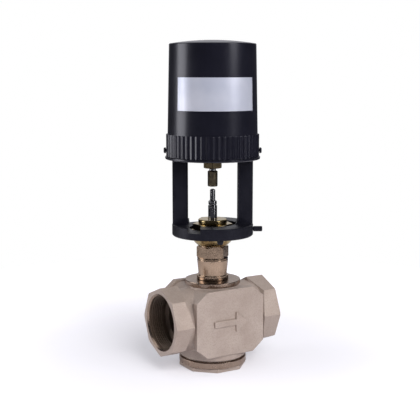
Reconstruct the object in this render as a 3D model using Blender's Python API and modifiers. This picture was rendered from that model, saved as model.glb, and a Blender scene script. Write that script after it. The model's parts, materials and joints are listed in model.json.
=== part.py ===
"""Motorised two-way zone valve: a cast globe valve body, a screwed bonnet with its gland,
a yoke, and a linear electric actuator under a round cover. The valve stands on its bottom
cap. X runs along the pipe, Y from front to back and Z up the stem. The valve is open at
rest, with the plug held above its seat."""

import math

import bmesh
import bpy
from mathutils import Matrix, Vector

MM = 0.001
WELD = 0.02 * MM

# ---- fits ------------------------------------------------------------------------------------
SEAT_GAP = 0.3 * MM  # left between pieces that touch
RUN_GAP = 0.3 * MM  # radial room round a stem, spindle or shaft
FIT_GAP = 0.3 * MM  # radial room round a fixed spigot

# ---- facets round a turned piece -------------------------------------------------------------
FINE = 40
ROUND = 24
SMALL = 16
TINY = 10
COLLAR_FACETS = 24
NECK_FACETS = 28
PORT_FACETS = 24
BARREL_FACETS = 36
CHAMBER_FACETS = 28
RING_FACETS = 44

# ---- valve body ------------------------------------------------------------------------------
FACE_HALF = 66.0 * MM  # half the face-to-face length
PORT_Z = 56.0 * MM
COLLAR_R = 37.4 * MM  # corner radius of the octagonal port collars
COLLAR_LENGTH = 18.0 * MM
COLLAR_CHAMFER = 2.2 * MM
NECK_R = 34.0 * MM
NECK_LENGTH = 5.6 * MM
PORT_BORE_R = 29.4 * MM
PORT_BORE_DEPTH = 22.0 * MM
PORT_MOUTH_CHAMFER = 1.8 * MM
PASSAGE_R = 25.0 * MM
BLOCK_HALF_HEIGHT = 36.4 * MM
BLOCK_CORNER_X = 13.5 * MM
BLOCK_CORNER_Z = 11.0 * MM
BLOCK_HALF_DEPTH = 36.0 * MM
BLOCK_ROUND = 4.5 * MM
PAD_HALF_DEPTH = 38.4 * MM  # front and back pads, proud of the block
PAD_INSET = 5.0 * MM  # how far a pad is let into the block
PAD_BORDER = 1.6 * MM  # how far a pad's outline passes the block's
PAD_ROUND = 1.0 * MM
BARREL_R = 36.6 * MM
BAND_R = 37.2 * MM
BAND_HEIGHT = 6.7 * MM
BAND_GROOVE_R = 33.6 * MM
BAND_GROOVE_HEIGHT = 1.7 * MM
BOSS_R = 30.5 * MM
BOSS_HEIGHT = 5.2 * MM
BOSS_GROOVE_R = 28.6 * MM
BOSS_GROOVE_HEIGHT = 1.6 * MM
CHAMBER_R = 27.0 * MM
CHAMBER_ROOF = 9.7 * MM  # thickness of the body over the upper chamber
WEB_BOTTOM = -4.0 * MM  # the web that carries the seat, from the port axis
WEB_TOP = 4.0 * MM
PARTING_WALL = 4.0 * MM  # between a passage and the chamber it is closed to
WINDOW_HALF = 18.0 * MM
WINDOW_HEIGHT = 19.0 * MM
WINDOW_LEDGE = 0.5 * MM

# ---- bottom cap ------------------------------------------------------------------------------
CAP_HEAD_R = 37.4 * MM
CAP_HEAD_HEIGHT = 4.3 * MM
CAP_SPIGOT_R = 30.2 * MM
CAP_SPIGOT_HEIGHT = 8.9 * MM
CAP_WALL = 5.0 * MM
CAP_GASKET_HEIGHT = 1.2 * MM
CAP_GASKET_WALL = 2.6 * MM

# ---- seat ------------------------------------------------------------------------------------
SEAT_BORE_R = 19.0 * MM
SEAT_SPIGOT_R = 23.0 * MM
SEAT_FLANGE_R = 25.6 * MM
SEAT_FLANGE_HEIGHT = 3.2 * MM
SEAT_LIP = 1.0 * MM

# ---- bonnet ----------------------------------------------------------------------------------
BONNET_SPIGOT_R = 16.5 * MM
BONNET_RING_R = 17.5 * MM
BONNET_RING_HEIGHT = 4.7 * MM
BONNET_GROOVE_R = 15.8 * MM
BONNET_GROOVE_HEIGHT = 2.8 * MM
BONNET_TAPER_LOW_R = 16.1 * MM
BONNET_TAPER_TOP_R = 17.0 * MM
BONNET_TAPER_HEIGHT = 11.6 * MM
BONNET_COLLAR_HEIGHT = 4.9 * MM
BONNET_HEX_R = 17.9 * MM
BONNET_HEX_HEIGHT = 12.5 * MM
BONNET_HEX_TURN = math.radians(-16.0)
BONNET_UNDERCUT_R = 15.2 * MM
BONNET_UNDERCUT_HEIGHT = 1.0 * MM
BONNET_NOSE_R = 13.5 * MM
PACKING_BORE_R = 9.5 * MM
PACKING_BORE_DEPTH = 39.0 * MM

# ---- gland -----------------------------------------------------------------------------------
BUSH_HEIGHT = 5.4 * MM
PACKING_HEIGHT = 13.4 * MM
GLAND_DISC_R = 15.7 * MM
GLAND_DISC_HEIGHT = 4.7 * MM
GLAND_RIM = 0.9 * MM

# ---- yoke and its fastening ------------------------------------------------------------------
ACTUATOR_TURN = math.radians(-31.0)
FLANGE_LOW_R = 16.6 * MM
FLANGE_MID_R = 20.0 * MM
FLANGE_TOP_R = 22.6 * MM
FLANGE_LOW_HEIGHT = 3.3 * MM
FLANGE_CONE_HEIGHT = 4.9 * MM
FLANGE_HEIGHT = 10.8 * MM
RING_R = 44.4 * MM
RING_HEIGHT = 12.6 * MM
RING_FLOOR = 4.0 * MM
RING_ROUND = 1.0 * MM
COUNTERBORE_R = 25.5 * MM
LEG_INNER = 27.0 * MM
LEG_HALF_DEPTH = 9.0 * MM
LEG_CORNER = 1.6 * MM
LEG_STEP = 0.5 * MM  # the leg's outer face lies this far inside the ring's
LEG_HEIGHT = 70.7 * MM
FOOT_FILLET = 4.5 * MM
SLOT_NEAR = 13.0 * MM
SLOT_FAR = 26.5 * MM
SLOT_DEPTH = 5.0 * MM
WASHER_HEIGHT = 1.2 * MM
WASHER_R = 24.8 * MM
YOKE_NUT_R = 22.1 * MM
YOKE_NUT_HEIGHT = 6.8 * MM
SET_SCREW_R = 3.0 * MM
SET_SCREW_REACH = 54.5 * MM
SET_SCREW_DEPTH = 12.0 * MM
SHANK_R = 2.0 * MM
LUG_SCREW_AT = (8.0 * MM, -36.0 * MM)
LUG_SCREW_HEAD_R = 3.5 * MM
LUG_SCREW_HEAD_HEIGHT = 4.8 * MM
LUG_SCREW_DEPTH = 9.0 * MM
BASE_SCREW_OFFSET = 35.5 * MM
BASE_SCREW_HEAD_R = 4.0 * MM
BASE_SCREW_HEAD_HEIGHT = 2.6 * MM
BASE_SCREW_DEPTH = 12.0 * MM

# ---- stem and plug ---------------------------------------------------------------------------
STROKE = 16.0 * MM
STEM_R = 4.9 * MM
STEM_TIP_R = 2.9 * MM
STEM_TIP_LENGTH = 17.9 * MM
STEM_FOOT_R = 4.0 * MM
LOCK_NUT_R = 4.6 * MM
LOCK_NUT_HEIGHT = 4.8 * MM
PLUG_R = 22.4 * MM
PLUG_DISC_HEIGHT = 3.6 * MM
PLUG_HUB_R = 9.0 * MM
PLUG_HUB_HEIGHT = 3.0 * MM
PLUG_CORE_R = 17.0 * MM
PLUG_SKIRT_R = 18.5 * MM
PLUG_SKIRT_HEIGHT = 3.0 * MM
PLUG_TIP_R = 9.5 * MM
PLUG_TIP_HEIGHT = 15.0 * MM
SEAL_R = 22.2 * MM
SEAL_HEIGHT = 1.7 * MM
PLUG_NUT_R = 7.4 * MM
PLUG_NUT_HEIGHT = 5.5 * MM
STEM_FOOT_SHOW = 2.0 * MM

# ---- coupling and drive spindle --------------------------------------------------------------
REST_GAP = 2.6 * MM  # between the stem's tip and the coupling
COUPLING_R = 5.45 * MM
COUPLING_LENGTH = 17.1 * MM
COUPLING_CHAMFER = 0.7 * MM
SPINDLE_NECK_R = 3.6 * MM
SPINDLE_NECK_SHOW = 2.9 * MM
SPINDLE_GRIP = 6.5 * MM  # length held in the coupling
SCREW_R = 5.0 * MM
SCREW_REACH = 39.0 * MM  # from the base's floor to the top of the screw
STUB_R = 3.0 * MM
STUB_LENGTH = 6.0 * MM
GUIDE_HEX_R = 11.3 * MM
GUIDE_HEX_HEIGHT = 10.0 * MM
GUIDE_CHAMFER = 1.2 * MM
GUIDE_LIP = 2.1 * MM
GUIDE_SPIGOT_R = 8.0 * MM
GUIDE_STAND = 1.0 * MM  # how far the guide passes the floor
TRIP_ARM_THICK = 2.0 * MM
TRIP_ARM_HALF_WIDTH = 4.5 * MM
TRIP_ARM_REACH = 27.0 * MM
GUIDE_ROD_R = 2.0 * MM
GUIDE_ROD_OFFSET = 20.0 * MM

# ---- actuator housing ------------------------------------------------------------------------
RIM_R = 51.6 * MM
RIM_HEIGHT = 2.7 * MM
FLOOR_HEIGHT = 6.0 * MM
BASE_WALL_HEIGHT = 13.0 * MM
BASE_WALL = 3.0 * MM
COVER_HEIGHT = 123.8 * MM
COVER_WALL = 2.2 * MM
COVER_TOP_WALL = 3.0 * MM
COVER_LOW_R = 48.7 * MM
COVER_TOP_R = 46.7 * MM
COVER_EDGE = 2.8 * MM
SKIRT_R = 50.4 * MM
SKIRT_INNER_R = 47.8 * MM
SKIRT_HEIGHT = 24.0 * MM
FLUTES = 40
FLUTE_DEPTH = 0.9 * MM
COVER_SCREW_R = 1.6 * MM
COVER_SCREW_HEAD_R = 3.2 * MM
COVER_SCREW_HEAD_HEIGHT = 2.4 * MM
COVER_SCREW_DEPTH = 4.6 * MM
COVER_SCREW_RISE = 6.0 * MM
GROMMET_R = 6.0 * MM
GROMMET_BORE_R = 3.0 * MM
GROMMET_LIP = 1.6 * MM
GROMMET_RISE = 18.0 * MM

# ---- drive train -----------------------------------------------------------------------------
MODULE = 0.8 * MM
BACKLASH = 0.14 * MM
PRESSURE_ANGLE = math.radians(20.0)
NUT_TEETH = 50
IDLER_PINION_TEETH = 12
IDLER_WHEEL_TEETH = 36
MOTOR_TEETH = 10
NUT_GEAR_RISE = 3.0 * MM  # over the floor
NUT_GEAR_HEIGHT = 5.0 * MM
NUT_HUB_R = 7.9 * MM
NUT_JOURNAL_R = 6.9 * MM
IDLER_WHEEL_RISE = 10.0 * MM
IDLER_WHEEL_HEIGHT = 3.0 * MM
IDLER_SHAFT_R = 2.0 * MM
IDLER_SHAFT_SINK = 2.5 * MM
IDLER_ANGLE = math.radians(200.0)
MOTOR_OFFSET = 25.0 * MM
MOTOR_R = 18.0 * MM
MOTOR_HEIGHT = 24.0 * MM
MOTOR_SHAFT_R = 1.2 * MM
THRUST_BUSH_R = 12.0 * MM
PLATE_RISE = 16.0 * MM
PLATE_THICK = 2.0 * MM
PLATE_R = 44.0 * MM
PILLAR_R = 3.0 * MM
PILLAR_OFFSET = 39.0 * MM
PILLAR_ANGLES = (20.0, 140.0, 305.0)

# ---- electrics -------------------------------------------------------------------------------
BOARD_RISE = 66.0 * MM  # over the floor
BOARD_THICK = 1.6 * MM
BOARD_R = 39.0 * MM
STANDOFF_R = 2.5 * MM
STANDOFF_OFFSET = 33.0 * MM
STANDOFF_ANGLES = (70.0, 150.0, 330.0)
BLOCK_SIZE = (26.0 * MM, 9.0 * MM, 10.0 * MM)
BLOCK_AT = (0.0, 22.0 * MM)
SWITCH_SIZE = (13.0 * MM, 6.0 * MM, 4.5 * MM)
BRACKET_THICK = 1.6 * MM
BRACKET_HALF_WIDTH = 7.0 * MM
BRACKET_OFFSET = 37.0 * MM
BRACKET_FOOT = 6.0 * MM

# ---- levels, from the floor that the valve stands on -----------------------------------------
BODY_BOTTOM = CAP_HEAD_HEIGHT + SEAT_GAP
BAND_TOP = BODY_BOTTOM + BAND_HEIGHT
BARREL_BOTTOM = BAND_TOP + BAND_GROOVE_HEIGHT
BLOCK_TOP = PORT_Z + BLOCK_HALF_HEIGHT
BOSS_TOP = BLOCK_TOP + BOSS_HEIGHT
CHAMBER_TOP = BOSS_TOP - CHAMBER_ROOF
WEB_LOW = PORT_Z + WEB_BOTTOM
WEB_HIGH = PORT_Z + WEB_TOP
CAP_SPIGOT_TOP = CAP_HEAD_HEIGHT + CAP_SPIGOT_HEIGHT
CAP_BORE_TOP = CAP_SPIGOT_TOP + CAP_GASKET_HEIGHT + 2 * SEAT_GAP
SEAT_TOP = WEB_HIGH + SEAT_LIP

BONNET_BOTTOM = CHAMBER_TOP + 1.0 * MM
RING_BASE = BOSS_TOP + SEAT_GAP
GROOVE_BASE = RING_BASE + BONNET_RING_HEIGHT
TAPER_BASE = GROOVE_BASE + BONNET_GROOVE_HEIGHT
COLLAR_BASE = TAPER_BASE + BONNET_TAPER_HEIGHT
HEX_BASE = COLLAR_BASE + BONNET_COLLAR_HEIGHT
UNDERCUT_BASE = HEX_BASE + BONNET_HEX_HEIGHT
NOSE_BASE = UNDERCUT_BASE + BONNET_UNDERCUT_HEIGHT
FLANGE_BASE = NOSE_BASE + SEAT_GAP
YOKE_BASE = FLANGE_BASE + FLANGE_HEIGHT + SEAT_GAP
YOKE_FLOOR = YOKE_BASE + RING_FLOOR
RING_TOP = YOKE_BASE + RING_HEIGHT
WASHER_BASE = YOKE_FLOOR + SEAT_GAP
YOKE_NUT_BASE = WASHER_BASE + WASHER_HEIGHT + SEAT_GAP
YOKE_NUT_TOP = YOKE_NUT_BASE + YOKE_NUT_HEIGHT
BONNET_TOP = YOKE_NUT_TOP
PACKING_BORE_BASE = BONNET_TOP - PACKING_BORE_DEPTH
BUSH_BASE = PACKING_BORE_BASE + SEAT_GAP
PACKING_BASE = BUSH_BASE + BUSH_HEIGHT + SEAT_GAP
GLAND_BASE = PACKING_BASE + PACKING_HEIGHT + SEAT_GAP
GLAND_DISC_BASE = YOKE_NUT_TOP + SEAT_GAP

YOKE_TOP = RING_TOP + LEG_HEIGHT
BASE_BOTTOM = YOKE_TOP + SEAT_GAP
FLOOR_TOP = BASE_BOTTOM + FLOOR_HEIGHT
COVER_BASE = BASE_BOTTOM + RIM_HEIGHT + SEAT_GAP
COVER_TOP = COVER_BASE + COVER_HEIGHT
SKIRT_TOP = COVER_BASE + SKIRT_HEIGHT
BASE_WALL_TOP = BASE_BOTTOM + BASE_WALL_HEIGHT
BASE_WALL_R = SKIRT_INNER_R - FIT_GAP

GUIDE_TOP = BASE_BOTTOM - SEAT_GAP
GUIDE_BASE = GUIDE_TOP - GUIDE_HEX_HEIGHT
COUPLING_TOP = GUIDE_BASE - SPINDLE_NECK_SHOW
COUPLING_BASE = COUPLING_TOP - COUPLING_LENGTH
STEM_TOP = COUPLING_BASE - REST_GAP
STEM_SHOULDER = STEM_TOP - STEM_TIP_LENGTH
SPINDLE_BASE = COUPLING_TOP - SPINDLE_GRIP
SCREW_BASE = GUIDE_BASE + GUIDE_LIP + STROKE + SEAT_GAP
SCREW_TOP = FLOOR_TOP + SCREW_REACH
TRIP_ARM_BASE = SCREW_TOP + SEAT_GAP

SEAL_BASE = SEAT_TOP + STROKE + SEAT_GAP
PLUG_DISC_BASE = SEAL_BASE + SEAL_HEIGHT + SEAT_GAP
PLUG_HUB_BASE = PLUG_DISC_BASE + PLUG_DISC_HEIGHT
PLUG_TOP = PLUG_HUB_BASE + PLUG_HUB_HEIGHT
PLUG_SKIRT_TOP = SEAL_BASE - SEAT_GAP
PLUG_SKIRT_BASE = PLUG_SKIRT_TOP - PLUG_SKIRT_HEIGHT
PLUG_BASE = PLUG_SKIRT_BASE - PLUG_TIP_HEIGHT
STEM_LOW_SHOULDER = PLUG_TOP + SEAT_GAP
PLUG_NUT_TOP = PLUG_BASE - SEAT_GAP
PLUG_NUT_BASE = PLUG_NUT_TOP - PLUG_NUT_HEIGHT
STEM_BOTTOM = PLUG_NUT_BASE - STEM_FOOT_SHOW

PLATE_BASE = FLOOR_TOP + PLATE_RISE
PLATE_TOP = PLATE_BASE + PLATE_THICK
NUT_GEAR_BASE = FLOOR_TOP + NUT_GEAR_RISE
IDLER_WHEEL_BASE = FLOOR_TOP + IDLER_WHEEL_RISE
MOTOR_BASE = PLATE_TOP + SEAT_GAP
BOARD_BASE = FLOOR_TOP + BOARD_RISE

STEM_BORE_R = STEM_R + RUN_GAP
GLAND_SPIGOT_R = PACKING_BORE_R - FIT_GAP
NOSE_HOLE_R = BONNET_NOSE_R + FIT_GAP
BLOCK_HALF_WIDTH = FACE_HALF - COLLAR_LENGTH - NECK_LENGTH


# ---- collections and looks -------------------------------------------------------------------
def start_scene():
    for obj in list(bpy.data.objects):
        bpy.data.objects.remove(obj, do_unlink=True)
    parts = bpy.data.collections.new("zone_valve")
    cutters = bpy.data.collections.new("cutters")
    cutters.hide_render = True
    for collection in (parts, cutters):
        bpy.context.scene.collection.children.link(collection)
    return parts, cutters


PARTS, CUTTERS = start_scene()


def look(name, colour, roughness, metallic):
    material = bpy.data.materials.new(name)
    material.use_nodes = True
    shader = material.node_tree.nodes["Principled BSDF"]
    shader.inputs["Base Color"].default_value = (*colour, 1.0)
    shader.inputs["Roughness"].default_value = roughness
    shader.inputs["Metallic"].default_value = metallic
    return material


BRONZE = dict(colour=(0.46, 0.37, 0.31), roughness=0.42, metallic=0.85)
COPPERY = dict(colour=(0.55, 0.38, 0.24), roughness=0.28, metallic=1.0)
BRASS = dict(colour=(0.62, 0.45, 0.20), roughness=0.27, metallic=1.0)
OLIVE_BRASS = dict(colour=(0.36, 0.28, 0.14), roughness=0.36, metallic=1.0)
CHROME = dict(colour=(0.72, 0.72, 0.74), roughness=0.16, metallic=1.0)
STEEL = dict(colour=(0.50, 0.50, 0.52), roughness=0.32, metallic=1.0)
BLACK_METAL = dict(colour=(0.014, 0.014, 0.018), roughness=0.45, metallic=0.3)
BLACK_PLASTIC = dict(colour=(0.012, 0.012, 0.016), roughness=0.38, metallic=0.0)
WHITE_PLASTIC = dict(colour=(0.78, 0.77, 0.72), roughness=0.45, metallic=0.0)
GRAPHITE = dict(colour=(0.05, 0.05, 0.05), roughness=0.7, metallic=0.0)
RUBBER = dict(colour=(0.02, 0.02, 0.02), roughness=0.8, metallic=0.0)
GREEN_BOARD = dict(colour=(0.02, 0.14, 0.05), roughness=0.5, metallic=0.0)
GREEN_PLASTIC = dict(colour=(0.03, 0.30, 0.10), roughness=0.45, metallic=0.0)


# ---- modelling helpers -----------------------------------------------------------------------
def add_object(name, data, finish=None, parent=None, location=(0, 0, 0), turn=0.0):
    """Links an object: a part when it has a finish, and a cutter when it has none."""
    obj = bpy.data.objects.new(name, data)
    obj.location = location
    obj.rotation_euler = (0.0, 0.0, turn)
    obj.parent = parent
    if finish is None:
        CUTTERS.objects.link(obj)
        obj.hide_render = True
        obj.display_type = "WIRE"
        return obj
    obj.data.materials.clear()
    obj.data.materials.append(look(name, **finish))
    PARTS.objects.link(obj)
    return obj


def evaluated_mesh(name, obj):
    """A mesh of the object with its modifiers applied, welded and shaded."""
    bpy.context.view_layer.update()
    graph = bpy.context.evaluated_depsgraph_get()
    mesh = bpy.data.meshes.new_from_object(obj.evaluated_get(graph))
    mesh.name = name
    work = bmesh.new()
    work.from_mesh(mesh)
    bmesh.ops.remove_doubles(work, verts=work.verts, dist=1e-6)
    work.to_mesh(mesh)
    work.free()
    shade(mesh)
    return mesh


def shade(mesh):
    mesh.shade_smooth()
    mesh.set_sharp_from_angle(angle=math.radians(32.0))


def settle(obj):
    """Applies the modifiers, then welds slivers and joins the coplanar faces they left."""
    mesh = evaluated_mesh(obj.name, obj)
    work = bmesh.new()
    work.from_mesh(mesh)
    bmesh.ops.remove_doubles(work, verts=work.verts, dist=WELD)
    bmesh.ops.dissolve_degenerate(work, edges=work.edges, dist=WELD)
    bmesh.ops.dissolve_limit(
        work,
        angle_limit=math.radians(0.5),
        use_dissolve_boundaries=False,
        verts=work.verts,
        edges=work.edges,
    )
    bmesh.ops.triangulate(work, faces=work.faces)
    work.to_mesh(mesh)
    work.free()
    shade(mesh)
    obj.modifiers.clear()
    obj.data = mesh


def drop(obj):
    data = obj.data
    bpy.data.objects.remove(obj, do_unlink=True)
    if isinstance(data, bpy.types.Mesh):
        bpy.data.meshes.remove(data)
    elif isinstance(data, bpy.types.Curve):
        bpy.data.curves.remove(data)


def turned_mesh(name, profile, steps=ROUND):
    """Turns a profile of (radius, height) points about Z. It runs down the outer side."""
    work = bmesh.new()
    points = [work.verts.new((radius, 0.0, height)) for radius, height in profile]
    pairs = list(zip(points, points[1:]))
    if profile[0][0] > 0.0:
        pairs.append((points[-1], points[0]))
    for pair in pairs:
        work.edges.new(pair)
    mesh = bpy.data.meshes.new(name)
    work.to_mesh(mesh)
    work.free()
    guide = add_object(name + "_profile", mesh)
    screw = guide.modifiers.new("Turn", "SCREW")
    screw.axis = "Z"
    screw.steps = steps
    screw.render_steps = steps
    screw.use_merge_vertices = True
    screw.merge_threshold = 1e-5
    result = evaluated_mesh(name, guide)
    drop(guide)
    return result


def prism_mesh(name, sides, corner_r, low, high, turn=0.0):
    """A regular prism on Z, with a corner at the angle turn from +X."""
    work = bmesh.new()
    place = Matrix.Translation((0.0, 0.0, (low + high) / 2))
    place @= Matrix.Rotation(turn - math.pi / 2, 4, "Z")
    bmesh.ops.create_cone(
        work,
        cap_ends=True,
        segments=sides,
        radius1=corner_r,
        radius2=corner_r,
        depth=high - low,
        matrix=place,
    )
    mesh = bpy.data.meshes.new(name)
    work.to_mesh(mesh)
    work.free()
    shade(mesh)
    return mesh


def box_mesh(name, low, high):
    work = bmesh.new()
    size = Vector(high) - Vector(low)
    middle = (Vector(high) + Vector(low)) / 2
    place = Matrix.Translation(middle) @ Matrix.Diagonal((*size, 1.0))
    bmesh.ops.create_cube(work, size=1.0, matrix=place)
    mesh = bpy.data.meshes.new(name)
    work.to_mesh(mesh)
    work.free()
    return mesh


def sheet_mesh(name, outlines, low, high):
    """Flat closed outlines, the first one outside, filled and raised from low to high."""
    curve = bpy.data.curves.new(name, "CURVE")
    curve.dimensions = "2D"
    curve.fill_mode = "BOTH"
    curve.extrude = (high - low) / 2
    for outline in outlines:
        spline = curve.splines.new("POLY")
        spline.points.add(len(outline) - 1)
        for point, (x, y) in zip(spline.points, outline):
            point.co = (x, y, 0.0, 1.0)
        spline.use_cyclic_u = True
    guide = add_object(name + "_outline", curve)
    mesh = evaluated_mesh(name, guide)
    drop(guide)
    mesh.transform(Matrix.Translation((0.0, 0.0, (low + high) / 2)))
    return mesh


def circle(radius, count, centre=(0.0, 0.0), start=0.0):
    points = []
    for index in range(count):
        angle = start + 2 * math.pi * index / count
        points.append(
            (centre[0] + radius * math.cos(angle), centre[1] + radius * math.sin(angle))
        )
    return points


def boolean(obj, other, operation):
    modifier = obj.modifiers.new(operation.title() + " " + other.name, "BOOLEAN")
    modifier.operation = operation
    modifier.solver = "EXACT"
    modifier.object = other
    return modifier


def boolean_group(obj, others, operation):
    """One Boolean with several objects, so that they meet each other in a single step."""
    group = bpy.data.collections.new(obj.name + "_" + operation.lower())
    CUTTERS.children.link(group)
    for other in others:
        CUTTERS.objects.unlink(other)
        group.objects.link(other)
    modifier = obj.modifiers.new(operation.title() + " group", "BOOLEAN")
    modifier.operation = operation
    modifier.solver = "EXACT"
    modifier.operand_type = "COLLECTION"
    modifier.collection = group
    return modifier


def bevel(obj, width, segments=1, angle=30.0):
    modifier = obj.modifiers.new("Rounded edges", "BEVEL")
    modifier.width = width
    modifier.segments = segments
    modifier.limit_method = "ANGLE"
    modifier.angle_limit = math.radians(angle)
    return modifier


def lay_along_x(mesh):
    """Turns a mesh made on +Z so that it lies on +X, with its +X side turned down."""
    mesh.transform(Matrix.Rotation(math.pi / 2, 4, "Y"))
    return mesh


def stand_up(mesh):
    """Turns a flat mesh from the XY plane into the XZ plane, with its thickness along Y."""
    mesh.transform(Matrix.Rotation(math.pi / 2, 4, "X"))
    return mesh


def rod_profile(radius, low, high, chamfer=0.0):
    if chamfer <= 0.0:
        return [(0.0, high), (radius, high), (radius, low), (0.0, low)]
    return [
        (0.0, high),
        (radius - chamfer, high),
        (radius, high - chamfer),
        (radius, low + chamfer),
        (radius - chamfer, low),
        (0.0, low),
    ]


def tube_profile(outer, inner, low, high):
    return [(outer, high), (outer, low), (inner, low), (inner, high)]


def merge_meshes(name, meshes):
    """Several separate solids in one mesh."""
    work = bmesh.new()
    for mesh in meshes:
        work.from_mesh(mesh)
        bpy.data.meshes.remove(mesh)
    mesh = bpy.data.meshes.new(name)
    work.to_mesh(mesh)
    work.free()
    shade(mesh)
    return mesh


def polar(radius, angle):
    return (radius * math.cos(angle), radius * math.sin(angle))


def intersect_turning(obj, name, profile, parent=None):
    """Turns the corners of a prism down to a profile."""
    turning = add_object(name, turned_mesh(name, profile, ROUND), None, parent)
    boolean(obj, turning, "INTERSECT")


# ---- valve body ------------------------------------------------------------------------------
def block_outline(border):
    """Outline of the block in X and Z round the port axis, grown by border."""
    width = BLOCK_HALF_WIDTH + border
    height = BLOCK_HALF_HEIGHT + border
    corner_x = BLOCK_CORNER_X
    corner_z = BLOCK_CORNER_Z
    return [
        (-width + corner_x, PORT_Z - height),
        (width - corner_x, PORT_Z - height),
        (width, PORT_Z - height + corner_z),
        (width, PORT_Z + height - corner_z),
        (width - corner_x, PORT_Z + height),
        (-width + corner_x, PORT_Z + height),
        (-width, PORT_Z + height - corner_z),
        (-width, PORT_Z - height + corner_z),
    ]


def make_collar(side):
    """An octagonal port collar with its corners turned off at the face."""
    start = FACE_HALF - COLLAR_LENGTH
    sides = prism_mesh("collar", 8, COLLAR_R, start - MM, FACE_HALF + MM)
    collar = add_object("collar_" + side, lay_along_x(sides))
    face = COLLAR_R - COLLAR_CHAMFER
    profile = [
        (0.0, FACE_HALF),
        (face - 0.6 * COLLAR_CHAMFER, FACE_HALF),
        (COLLAR_R + 0.2 * MM, FACE_HALF - COLLAR_CHAMFER),
        (COLLAR_R + 0.2 * MM, start + COLLAR_CHAMFER),
        (face, start),
        (0.0, start),
    ]
    turning_mesh = lay_along_x(turned_mesh("collar_turning", profile, COLLAR_FACETS))
    turning = add_object("collar_turning_" + side, turning_mesh)
    boolean(collar, turning, "INTERSECT")
    for obj in (collar, turning):
        obj.location = (0.0, 0.0, PORT_Z)
        obj.rotation_euler = (0.0, 0.0, math.pi if side == "left" else 0.0)
    return collar


def make_port_cutter(side):
    """The threaded bore of a port with the passage behind it."""
    past = FACE_HALF + 1.0 * MM
    bore_end = FACE_HALF - PORT_BORE_DEPTH
    passage_end = CHAMBER_R + PARTING_WALL
    mouth = PORT_BORE_R + PORT_MOUTH_CHAMFER
    profile = [
        (0.0, past),
        (mouth + 1.0 * MM, past),
        (mouth, FACE_HALF),
        (PORT_BORE_R, FACE_HALF - PORT_MOUTH_CHAMFER),
        (PORT_BORE_R, bore_end),
        (PASSAGE_R, bore_end - 2.5 * MM),
        (PASSAGE_R, passage_end),
        (0.0, passage_end),
    ]
    cutter = add_object("port_" + side, lay_along_x(turned_mesh("port", profile, PORT_FACETS)))
    cutter.location = (0.0, 0.0, PORT_Z)
    cutter.rotation_euler = (0.0, 0.0, math.pi if side == "left" else 0.0)
    return cutter


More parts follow.
